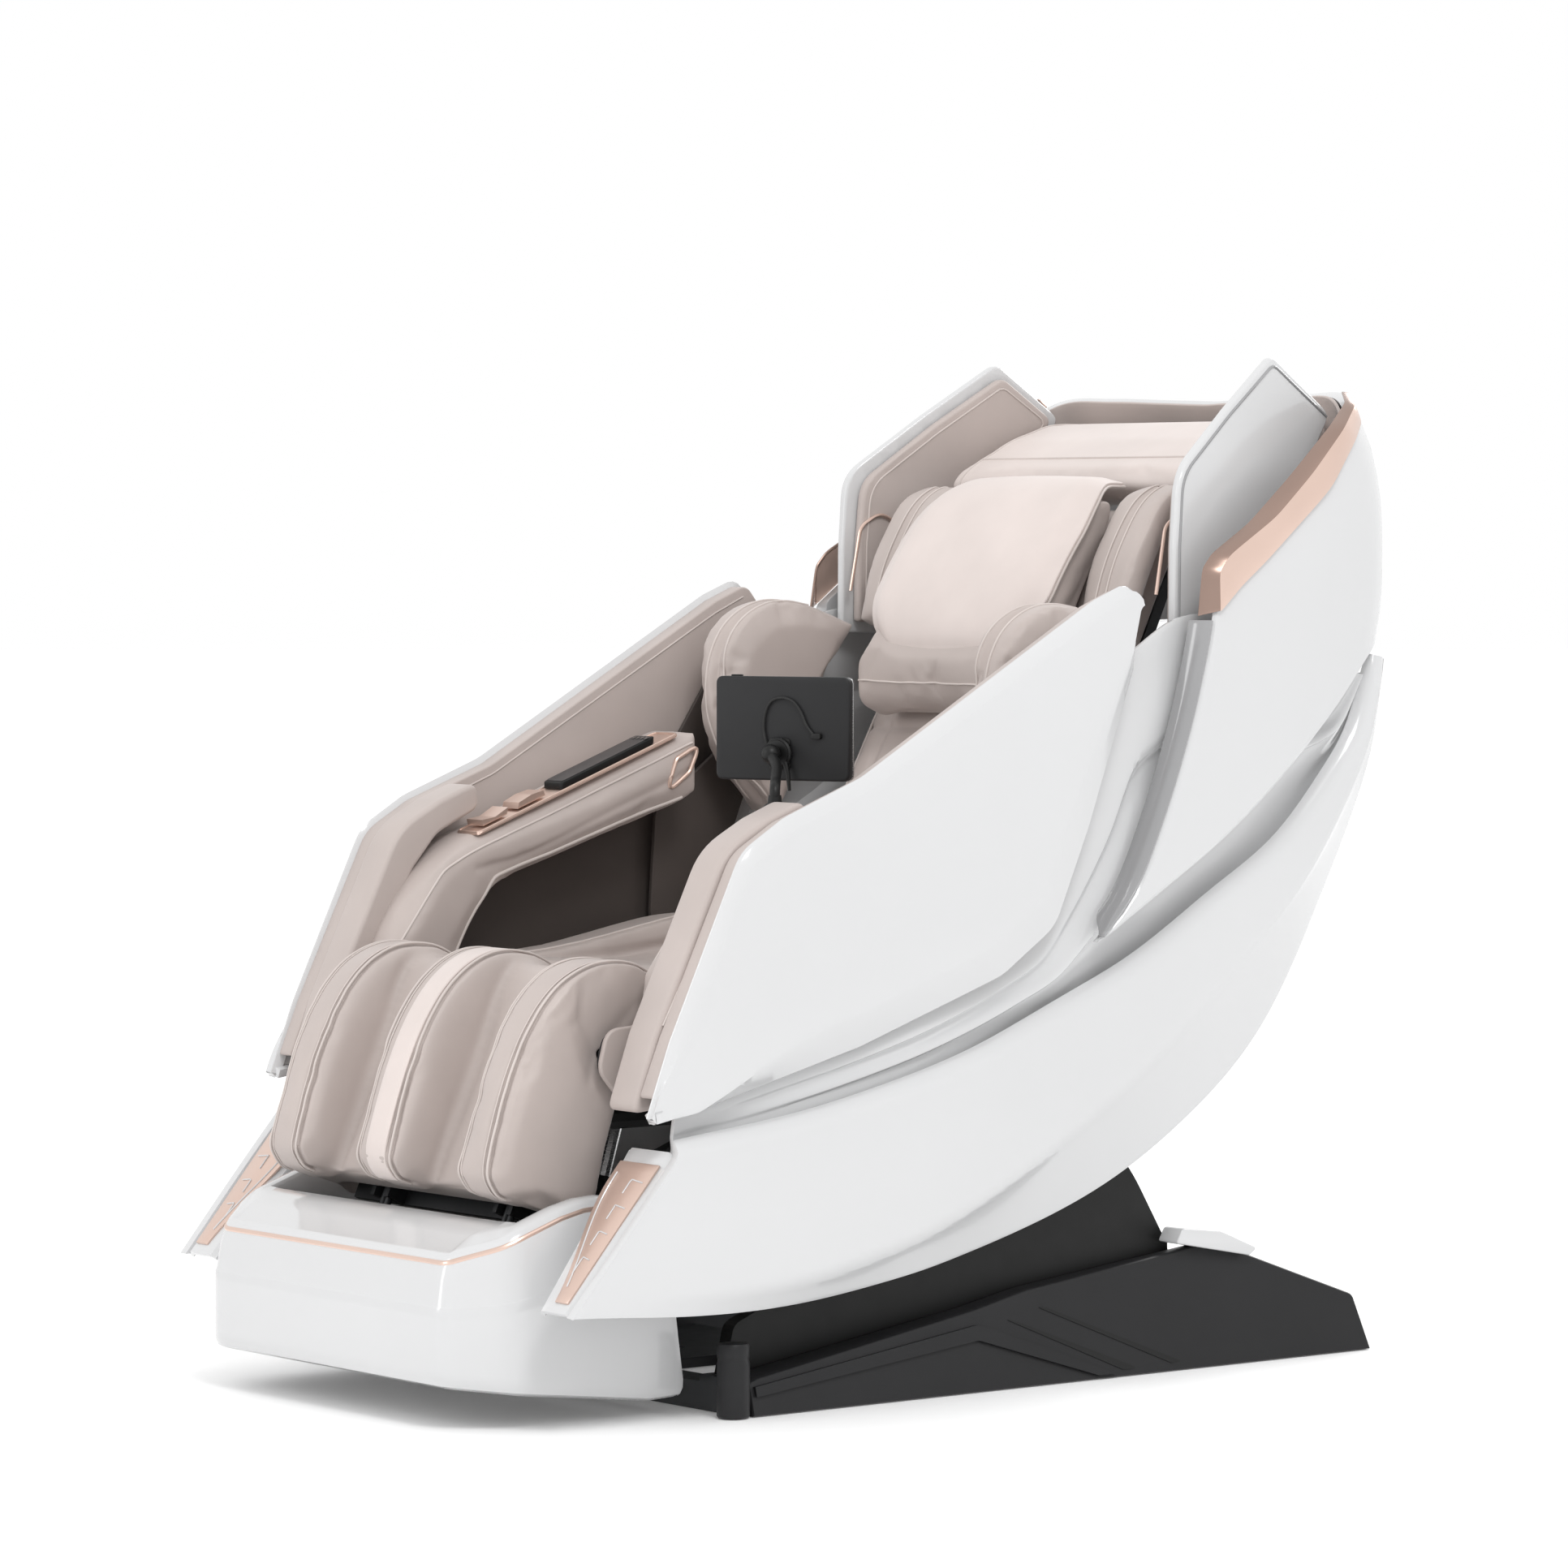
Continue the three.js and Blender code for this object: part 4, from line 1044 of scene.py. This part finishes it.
PILLOW_BOX = [
    on_back(300, 6, 16), on_back(298, 60, 26), on_back(346, 84, 26), on_back(470, 74, 60),
    on_back(588, 44, 40), on_back(606, 10, 16), on_back(560, 2, 10),
]
HOOD = [
    on_back(626, -64, 10), on_back(630, -20, 14), (452, 1052, 60), (530, 1090, 90), (600, 1112, 90),
    (664, 1112, 16), (652, 1076, 20),
]


def pad_block(name, outline, half_width):
    return plate(name, rounded(outline, 5), -half_width, half_width, 9)


hood_skin = inflate_later(pad_block("hood_skin", HOOD, 236), 2, 5, 4, 2, 8)
pillow_box = inflate_later(pad_block("pillow_box", PILLOW_BOX, 150), 3, 4.5, 8, 5)
inflate_all()


def make_seat():
    for side, _ in SIDES:
        crease = [(side * 222, y, mix(462, 486, smoothstep(y, -200, 80))) for y in range(-292, 100, 20)]
        groove(seat_pad, crease, 7, 6)
    groove(seat_pad, [(x, -250, 480) for x in range(-214, 220, 20)], 2.5, 5)
    finish_pad(seat_pad, "seat", TAUPE, "seat_cushion")
    for side, label in SIDES:
        bolster = [(side * 236, y, 476 + 36 * smoothstep(y, -160, 60)) for y in range(-285, 85, 15)]
        pipe(seat_pad, f"seat_piping_{label}", "seat", bolster, 70, 1.6)
    pipe(seat_pad, "seat_front_piping", "seat", [(x, -284, 474) for x in range(-205, 210, 10)], 60, 1.6)


def make_back():
    for along in (150, 300):
        groove(back_skin, [back_point(x, along, 4) for x in range(-200, 205, 15)], 3.0, 6)
    for side, _ in SIDES:
        groove(back_skin, [back_point(side * 150, along, 4) for along in range(24, 600, 20)], 3.5, 6)
    finish_pad(back_skin, "backrest", TAUPE, "back_pad")
    for side, label in SIDES:
        edge = [back_point(side * 200, along, 2) for along in range(20, 610, 15)]
        pipe(back_skin, f"back_piping_{label}", "backrest", edge, 90, 1.6)


def make_shoulder_pads():
    front = side_spline([(196, 640), (118, 704), (96, 782), (108, 852), (160, 890), (226, 888)])
    groove(shoulder, sampled(front, 40, 252), 7.0, 6)
    left = make_twin_pads(shoulder, "shoulder_pad_skin", "backrest", TAUPE, "shoulder_pad", 0.85)
    for k, x in enumerate((240, 264)):
        pipe_pair(left, f"shoulder_piping_{k}", "backrest", sampled(front, 40, x), 70, 1.4)


def make_head_pads():
    front = side_spline([on_back(*p) for p in ((430, 24), (500, 44), (560, 42), (606, 32), (628, 2))])
    groove(head_side, sampled(front, 30, 206), 6, 5)
    left = make_twin_pads(head_side, "head_pad_skin", "backrest", TAUPE, "head_pad", 0.85)
    for k, x in enumerate((198, 214)):
        pipe_pair(left, f"head_piping_{k}", "backrest", sampled(front, 30, x), 50, 1.1)


def make_hood():
    finish_pad(hood_skin, "backrest", PALE, "hood", fill=0.6)
    arc = side_spline([on_back(630, -22), (440, 1082), (500, 1114), (580, 1132), (640, 1126)])
    for side, label in SIDES:
        pipe(hood_skin, f"hood_piping_{label}", "backrest", sampled(arc, 30, side * 214), 50, 1.3)
    pipe(hood_skin, "hood_band", "backrest", [(x, 466, 1100) for x in range(-210, 215, 10)], 50, 1.4)


def make_pillow():
    """A taupe box pad with a pale flap that wraps over its front from the top."""
    finish_pad(pillow_box, "pillow", TAUPE, "pillow")
    outer = side_spline([on_back(*p) for p in (
        (364, 82), (400, 88), (460, 86), (525, 76), (580, 60), (610, 38), (628, 4),
    )])
    rows = []
    count = 44
    for i in range(count):
        u = i / (count - 1)
        centre = outer(u)
        half = 100 + 62 * smoothstep(u, -0.04, 0.3) - 46 * smoothstep(u, 0.5, 1.0)
        row = []
        for s in np.linspace(-1, 1, 37):
            crown = 7 * (1 - s * s)
            drop = 12 * smoothstep(abs(s), 0.78, 1.0)
            lift = crown - drop - 3 - 5 * bell(u, 0, 0.05)
            row.append(Vector((s * half, centre.y + BACK_OUT[0] * lift, centre.z + BACK_OUT[1] * lift)))
        rows.append(row)
    flap = sheet_object("pillow_flap", rows, 5, 2.0, 3)
    finish_piece(flap, "pillow", PALE, angle=60)
    border = [row[0] for row in rows] + rows[-1][1:-1] + [row[-1] for row in reversed(rows)]
    border += reversed(rows[0][1:-1])
    sunk = [p - Vector((0, *BACK_OUT)) for p in border]
    finish_piece(tube("flap_piping", sunk, 1.9, 8, closed=True), "pillow", PIPING)
    seam = [back_point(x, 330, 70) for x in range(-142, 145, 8)]
    pipe(pillow_box, "pillow_seam", "pillow", seam, 60, 1.3)


def make_armrests():
    def on_rest(y):
        return 246, y, arm_top(y) - 14

    inner_seam = [
        (246, -392, 446), (246, -382, 492), (246, -316, 580), on_rest(-282), on_rest(-150), on_rest(52),
    ]
    channel = [(247, y, arm_top(y) - 46 + 12 * smoothstep(y, -200, -280)) for y in range(-270, 60, 15)]
    groove(armrest, channel, 2.0, 5)
    left = make_twin_pads(armrest, "armrest_skin", "seat", TAUPE, "armrest", 0.6)
    pipe_pair(left, "armrest_piping", "seat", inner_seam, 90, 1.5)
    cavity_lip = [(246, -300, 474), (246, -244, 570), (246, -156, 594), (246, 36, 657)]
    pipe_pair(left, "armrest_lip", "seat", cavity_lip, 70, 2.2)
    buckle = rounded([(0, 664, 8), (36, 690, 8), (52, 724, 8), (16, 706, 8)], 5)
    loop = [Vector((241.0, y + 8, z - 2)) for y, z in (tuple(p) for p in buckle)]
    ring = evenly(loop + [loop[0]], 48)[:-1]
    pair(tube("buckle", ring, 2.6, 8, closed=True), "arm_buckle", "seat", ROSE)


CALF_FIN = [
    on_calf(-118, -20), on_calf(-118, 10), on_calf(-88, 66), on_calf(-30, 104), on_calf(60, 116),
    on_calf(150, 108), on_calf(196, 88), on_calf(204, 60),
]
# each fin edge: its X, and how far along X its second, finer bead of piping lies from it
CALF_BANDS = {"inner": (161, 7), "outer": (215, -7), "middle": (31, -7)}


def make_calf():
    front = side_spline(CALF_FIN)
    for x, _ in CALF_BANDS.values():
        for side, _ in SIDES:
            groove(calf, sampled(front, 60, side * x), 5.5, 4.5)
    finish_pad(calf, "legrest", TAUPE, "calf_pad", fill=0.8)
    for name, (x, second) in CALF_BANDS.items():
        for side, label in SIDES:
            for tag, offset, radius in (("a", 0, 1.5), ("b", second, 0.8)):
                edge = sampled(front, 60, side * (x + offset))
                pipe(calf, f"calf_{name}_{tag}_{label}", "legrest", edge, 90, radius)
    middle = [Vector((6, 0, 0)) + front(mix(0.12, 0.92, i / 50)) for i in range(51)]
    strip_rows = [
        [p + Vector((dx, 0, 0)) for dx in (-19, -9, 0, 9, 19)] for p in hugging(calf, middle, 60, 1.0)
    ]
    finish_piece(sheet_object("calf_strip", strip_rows, 2.4, 0.8, 2), "legrest", PALE, angle=60)


make_seat()
make_back()
make_shoulder_pads()
make_head_pads()
make_hood()
make_pillow()
make_armrests()
make_calf()


# ---- foot unit ----

FOOT_HALF = 280
POCKET_HALF = 244
POCKET_FRONT = -562
POCKET_FLOOR = 188


def between(x, marks):
    """The height at x along straight runs between (x, height) marks."""
    return float(np.interp(x, [m[0] for m in marks], [m[1] for m in marks]))


def tub_top(y):
    return between(y, [
        (-650, 191), (-640, 194), (-600, 208), (-520, 236), (-490, 243), (-463, 245), (-430, 242),
        (-404, 236),
    ])


def tub_foot(y):
    return between(y, [(-650, 48), (-404, 20), (-364, 22)])


def tub_rear(z):
    return between(z, [(24, -364), (92, -357.5), (236, -404)])


def make_foot_unit():
    plan = rounded([
        (FOOT_HALF, -352), (FOOT_HALF - 4, -590, 60), (226, -650, 32), (-226, -650, 32),
        (-FOOT_HALF + 4, -590, 60), (-FOOT_HALF, -352),
    ], 10, closed=False)
    path = evenly([Vector((p[0], p[1], 0)) for p in plan], 181)
    rows = []
    trim = []
    for i, place in enumerate(path):
        ahead, behind = path[min(i + 1, len(path) - 1)], path[max(i - 1, 0)]
        along = (ahead - behind).normalized()
        inward = Vector((along.y, -along.x, 0))
        if inward.dot(Vector((0, -500, 0)) - place) < 0:
            inward = -inward
        y = place.y
        top, foot = tub_top(y), tub_foot(y)
        seam = mix(134, 166, smoothstep(y, -650, -430))
        section = [
            (24, foot + 2), (9, foot + 1), (3, foot + 3.5), (0.5, foot + 9), (0, foot + 18), (0, seam - 14),
            (0.2, seam - 1.5), (1.0, seam), (2.0, seam + 2.5), (6.5, mix(seam, top, 0.5)), (10.5, top - 15),
            (11.5, top - 11.5), (12.5, top - 9), (15, top - 3.5), (19, top - 0.8), (24, top),
        ]
        row = []
        for inset, z in section:
            point = place + inward * inset
            row.append(Vector((point.x, min(point.y, tub_rear(z)), z)))
        rim = row[-1]
        inner = Vector((
            max(-POCKET_HALF, min(POCKET_HALF, rim.x)), min(max(POCKET_FRONT, rim.y), tub_rear(230)), 0,
        ))
        inner.z = tub_top(inner.y)
        for t in (0.33, 0.66, 0.94):
            point = rim.lerp(inner, t)
            point.z = tub_top(point.y)
            row.append(point)
        row.append(inner - Vector((0, 0, 2.0)))
        row.append(Vector((inner.x, inner.y, POCKET_FLOOR)))
        rows.append(row)
        trim.append((row[11] + row[12]) / 2 - inward * 1.0 + Vector((0, 0, 1.0)))
    tub = sheet_object("foot_tub", rows, 3.5, 0.6, 2, 50)
    finish_piece(tub, "foot_unit", WHITE, "foot_housing", angle=40)
    finish_piece(tube("foot_trim", trim, 3.6, 10), "foot_unit", ROSE)

    well = [
        (-562, 188.5), (-563, 184), (-563, 146), (-560, 142.5), (-520, 142.5), (-516.5, 146),
        (-516.5, 186), (-514, 189.5), (-440, 189.5), (-364, 189.5),
    ]
    deck = [[Vector((x, y, z)) for x in (-204, -100, 0, 100, 204)] for y, z in well]
    finish_piece(sheet_object("foot_deck", deck, 2.5, 0.5, 2), "foot_unit", DECK_GREY)
    for side, label in SIDES:
        ledge = [[Vector((side * x, y, 189.5)) for x in (204.5, 224, 243.5)] for y in (-561.5, -460, -364)]
        finish_piece(sheet_object(f"foot_ledge_{label}", ledge, 2.5, 0.5, 2), "foot_unit", DECK_GREY)
        back = [
            [Vector((side * x, tub_rear(z) + 1.5, z)) for x in (60, 150, 256)] for z in (32, 92, 150, 186)
        ]
        finish_piece(sheet_object(f"foot_back_{label}", back, 3, 0.5, 2), "foot_unit", BLACK_PLASTIC)
        for x in (116, 125):
            post = tube("post", [(side * x, *on_calf(a, -16.5)[:2]) for a in (82, 236)], 4.2, 12)
            finish_piece(post, "foot_unit", FRAME_STEEL)
            post.name = f"foot_post_{label}_{x}"


# ---- base ----

def make_base():
    def cover_x(z):
        return mix(352, 314, z / 142)

    def outer_leaned(x, y, z):
        if x > 351:
            return cover_x(z), y, z
        return (cover_x(z) - (352 - x) if x > 320 else x), y, z

    cover = plate("base_cover", rounded([
        (-318, 0.6), (-318, 38, 6), (-305, 42, 8), (20, 92, 30), (100, 108, 30), (398, 142, 10),
        (604, 66, 10), (618, 0.6),
    ], 5), 296.5, 352, 3, 0, outer_leaned)
    pair(cover, "base_cover_skin", "base", BASE_GREY, "base_cover")

    def on_cover(lift):
        return lambda x, y, z: (cover_x(z) + lift if x > 330 else cover_x(z) - 6, y, z)

    rib = plate("rib", rounded([
        (-312, 22), (-312, 33), (18, 75, 30), (46, 66, 20), (212, 5), (186, 5), (16, 58, 20),
    ], 5), 320, 340, 2.2, 0, on_cover(4.0))
    pair(rib, "base_rib", "base", BASE_GREY)
    for k, outline in enumerate((
        [(62, 78), (78, 74), (250, 8), (226, 8)], [(112, 88), (126, 86), (318, 10), (300, 10)],
    )):
        slot_piece = plate("slot", rounded([(*p, 3) for p in outline], 3), 320, 340, 0.6, 0, on_cover(0.9))
        pair(slot_piece, f"base_slot_{k}", "base", BLACK_PLASTIC)
    post = revolved("post", [
        (6, 0.4), (17, 0.4), (18.6, 2.5), (18.6, 60), (17.6, 64), (17.6, 66), (18.2, 68), (18.2, 80),
        (16.5, 83), (6, 84),
    ], (338, -336, 0))
    pair(post, "base_post", "base", BASE_GREY)
    flap_outline = [(324, 146, 3), (334, 163, 6), (394, 156, 6), (452, 132, 3), (440, 124, 3)]
    flap = plate("flap", rounded(flap_outline, 4), 298, 332, 2)
    pair(flap, "rear_flap", "base", WHITE)


# ---- controls on the sitter's right arm ----

def oblong(x, y, radius):
    """A rounded rectangle between the low and high values of x and y."""
    return rounded([(x[i], y[j], radius) for i, j in ((0, 0), (1, 0), (1, 1), (0, 1))], 6)


def arm_plate(name, x, y, rise, radius, bevel, segments=3):
    """A rounded plate lying on the armrest's slope: x, y and rise are its low and high values."""
    outline = oblong(x, y, radius)
    piece = plate(name, outline, rise[0], rise[1], bevel, 0, segments=segments)
    for vert in piece.data.vertices:
        lift, px, py = vert.co / MM
        vert.co = Vector((px, py, arm_top(py) + lift)) * MM
    return face_out(piece)


def make_controls():
    tray = arm_plate("control_tray_skin", (-298, -250), (-262, 34), (0.6, 4), 6, 1)
    finish_piece(tray, "seat", ROSE, "control_tray")
    rim = oblong((-296.5, -251.5), (-260.5, 32.5), 6)
    rim_line = [Vector((p[0], p[1], arm_top(p[1]) + 4)) for p in rim]
    finish_piece(tube("tray_rim", rim_line, 1.5, 8, closed=True), "seat", ROSE)
    slab = arm_plate("controller_body", (-293, -255), (-138, 2), (4.6, 13.5), 5, 1.5)
    finish_piece(slab, "seat", BLACK_PLASTIC, "hand_controller")
    top = arm_plate("controller_face", (-291, -257), (-135, -1), (13.6, 14.4), 4, 0.3, 1)
    finish_piece(top, "seat", CONTROL_GREY)
    for k in range(4):
        x = -285 + 8 * k
        button = arm_plate(f"controller_button_{k}", (x, x + 5), (-12, -6), (14.5, 15.4), 1.5, 0.4, 2)
        finish_piece(button, "seat", SCREEN)


# ---- tablet ----

TABLET_CENTRE = Vector((207, -161, 756))
TABLET_RIGHT = Vector((0.928, 0.373, 0)).normalized()
TABLET_BACK = Vector((0.373, -0.928, 0)).normalized()
MOUNT_RIGHT, MOUNT_UP = -2, -28


def on_tablet(right, back, up):
    return TABLET_CENTRE + TABLET_RIGHT * right + TABLET_BACK * back + Vector((0, 0, up))


def tablet_slab(name, half_width, half_height, back, radius, bevel, centre=(0, 0)):
    """A rounded slab that lies on the tablet between two distances back from its middle."""
    outline = rounded([
        (centre[0] + sx * half_width, centre[1] + sz * half_height, radius)
        for sx, sz in ((-1, -1), (1, -1), (1, 1), (-1, 1))
    ], 6)
    return face_out(plate(name, outline, *back, bevel, 0, lambda x, y, z: on_tablet(y, x, z)))


CABLE_ROUTE = [
    (44, 9.4, -8), (34, 9.6, 4), (26, 9.6, 20), (16, 9.6, 31), (2, 9.6, 35), (-12, 9.6, 31), (-20, 9.6, 18),
    (-22, 9.6, 0), (-20, 9.6, -12), (-17.5, 9.6, -20),
]
CABLE_DIAMETER = 3.0


def make_cable():
    """The thin cable from its plug over a loop to the mount, held at both ends."""
    route = spline([on_tablet(*p) for p in CABLE_ROUTE])
    line = sampled(route, 60)
    cable = tube("tablet_cable_lead", line, CABLE_DIAMETER / 2, 12)
    finish_piece(cable, "tablet", CABLE, "tablet_cable", angle=60)


TABLET_SLABS = (
    # name, half width, half height, from and to along the back direction, corner radius, bevel, centre
    (TABLET_SHELL, "tablet_back_shell", 87, 59, (-4.2, 7), 9, 3),
    (BRIGHT_STEEL, "tablet_rim", 86.6, 58.6, (-5.4, -4.3), 8.6, 0.4),
    (SCREEN, "tablet_glass", 86.6, 58.6, (-7, -5.5), 8.6, 0.5),
    (BLACK_PLASTIC, "tablet_button", 7, 1.2, (-1.5, 2.5), 1, 0.5, (-62, 59.6)),
    (BLACK_PLASTIC, "tablet_plug", 6, 3.4, (7.1, 12.4), 2.5, 0.8, (47, -8)),
    (BLACK_PLASTIC, "mount_plate", 14, 18, (7.1, 9.6), 5, 0.8, (MOUNT_RIGHT, MOUNT_UP - 1)),
)


def make_tablet():
    for material, *slab in TABLET_SLABS:
        replaced = ("tablet",) if material is TABLET_SHELL else ()
        finish_piece(tablet_slab(*slab), "tablet", material, *replaced)
    knob = revolved("mount_knob", [
        (5, 9.7), (17, 9.7), (17.5, 10.6), (17.5, 13.2), (15.5, 14.6), (15, 16), (9, 16.6), (5, 16.2),
    ], (0, 0, 0), "X", 32)
    for vert in knob.data.vertices:
        back, right, up = vert.co / MM
        vert.co = on_tablet(MOUNT_RIGHT + right, back, MOUNT_UP + up) * MM
    finish_piece(face_out(knob), "tablet", BLACK_PLASTIC)
    for k in range(10):
        angle = 2 * math.pi * k / 10
        right, up = MOUNT_RIGHT + 17.2 * math.cos(angle), MOUNT_UP + 17.2 * math.sin(angle)
        rib = tube(f"knob_rib_{k}", [on_tablet(right, back, up) for back in (10.8, 13.4)], 1.3, 6)
        finish_piece(rib, "tablet", BLACK_PLASTIC)
    path = [on_tablet(8, 13, -38), on_tablet(13, 15, -52), on_tablet(15, 15.5, -70)]
    finish_piece(tube("lever", path, 3.4, 12, taper=lambda t: 1 - 0.45 * t), "tablet", BLACK_PLASTIC)


POLE_FOOT = (272, -226)
BALL_RADIUS = 11


def make_pole():
    start = arm_top(POLE_FOOT[1]) + 9.5 + 18 + 0.3
    collar = revolved("pole_collar", [
        (6, 0), (13, 0), (14, 1.2), (14, 10), (12.6, 12), (8.5, 15), (7.2, 24), (5, 24.5),
    ], (*POLE_FOOT, start))
    finish_piece(collar, "pole", BLACK_PLASTIC, "tablet_pole")
    route = spline([
        (*POLE_FOOT, start + 4), (*POLE_FOOT, start + 30), (258, -214, 700), (236, -196, 716),
        (220, -190, 726),
    ])
    finish_piece(tube("pole_arm", sampled(route, 40), 6, 20), "pole", BLACK_PLASTIC, angle=60)
    angles = [math.pi * k / 12 for k in range(13)]
    profile = [(BALL_RADIUS * math.sin(a) + 0.01, -BALL_RADIUS * math.cos(a)) for a in angles]
    ball = revolved("pole_ball", profile, (215.6, -187.8, 728), "Z", 24)
    finish_piece(ball, "pole", BLACK_PLASTIC, angle=60)


# ---- back cover ----

BACK_COVER_HALF = 299
CORNER_DRAWN_IN = 62


def make_back_cover():
    """The dark cover behind the frame. Its upper corners are drawn in to stay inside the shells."""
    knots = [back_point(0, *p) for p in ((-6, -127), (150, -183), (502, -305))] + [(0, 686, 838)]
    line = evenly(runs(knots, 12), 60)
    rows = []
    for point in line:
        half = BACK_COVER_HALF - CORNER_DRAWN_IN * smoothstep(point.z, 770, 826)
        rows.append([Vector((half * s, point.y, point.z)) for s in np.linspace(-1, 1, 25)])
    finish_piece(sheet_object("back_cover_panel", rows, 5, 1.2, 2), "backrest", BLACK_PANEL, "back_cover")


# ---- carried-over nodes ----

DRESSED = {
    FRAME_STEEL: "base_frame seat_frame back_frame calf_frame",
    BLACK_PANEL: "tower_panel_left tower_panel_right",
    BLACK_PLASTIC: "power_box tilt_actuator back_actuator leg_actuator air_pump massage_carriage pole_socket",
    BRIGHT_STEEL: "tilt_rod back_rod leg_rod",
    RUBBER: "rear_wheel_left rear_wheel_right power_switch kneading_rollers sole_roller",
    ROSE: "recline_key pause_key",
}


def dress_nodes():
    """Gives the CAD nodes that stay in view their materials."""
    for material, names in DRESSED.items():
        for name in names.split():
            slots = nodes[name].data.materials
            slots.clear()
            slots.append(material)


# ---- stage ----

FLOOR_REACH = 40000
FLOOR_HEIGHT = -0.5


def add_floor():
    """A pale floor out to the horizon, with a faint glow that evens it out against the surround."""
    corners = [(x, y, FLOOR_HEIGHT) for y in (-FLOOR_REACH, FLOOR_REACH) for x in (-FLOOR_REACH, FLOOR_REACH)]
    floor = new_object("floor", corners, [(0, 1, 3, 2)])
    look = Look("studio_floor", 0.6)
    look.colour(look.noise(0.8, 2), grey(0.93), grey(0.95))
    look.shader.inputs["Emission Color"].default_value = (1, 1, 1, 1)
    look.shader.inputs["Emission Strength"].default_value = 0.1
    floor.data.materials.append(look.material)


add_camera()
make_cable()
make_lower_shell()
make_side_shell()
make_arm_panel()
make_arm_liner()
make_rear_shell()
make_trim_strip()
make_wings()
make_foot_unit()
make_base()
make_controls()
make_tablet()
make_pole()
make_back_cover()
dress_nodes()
add_floor()
add_world()
add_area("key", (3.4, -1.4, 4.4), (0, 0.1, 0.6), (1.4, 1.4), 88)
add_area("front", (-1.4, -4.2, 2.2), (0, -0.2, 0.5), (0.9, 2.4), 30)
add_area("rear", (-1.2, 3.6, 2.8), (0, 0.3, 0.7), (1.8, 1.8), 46)
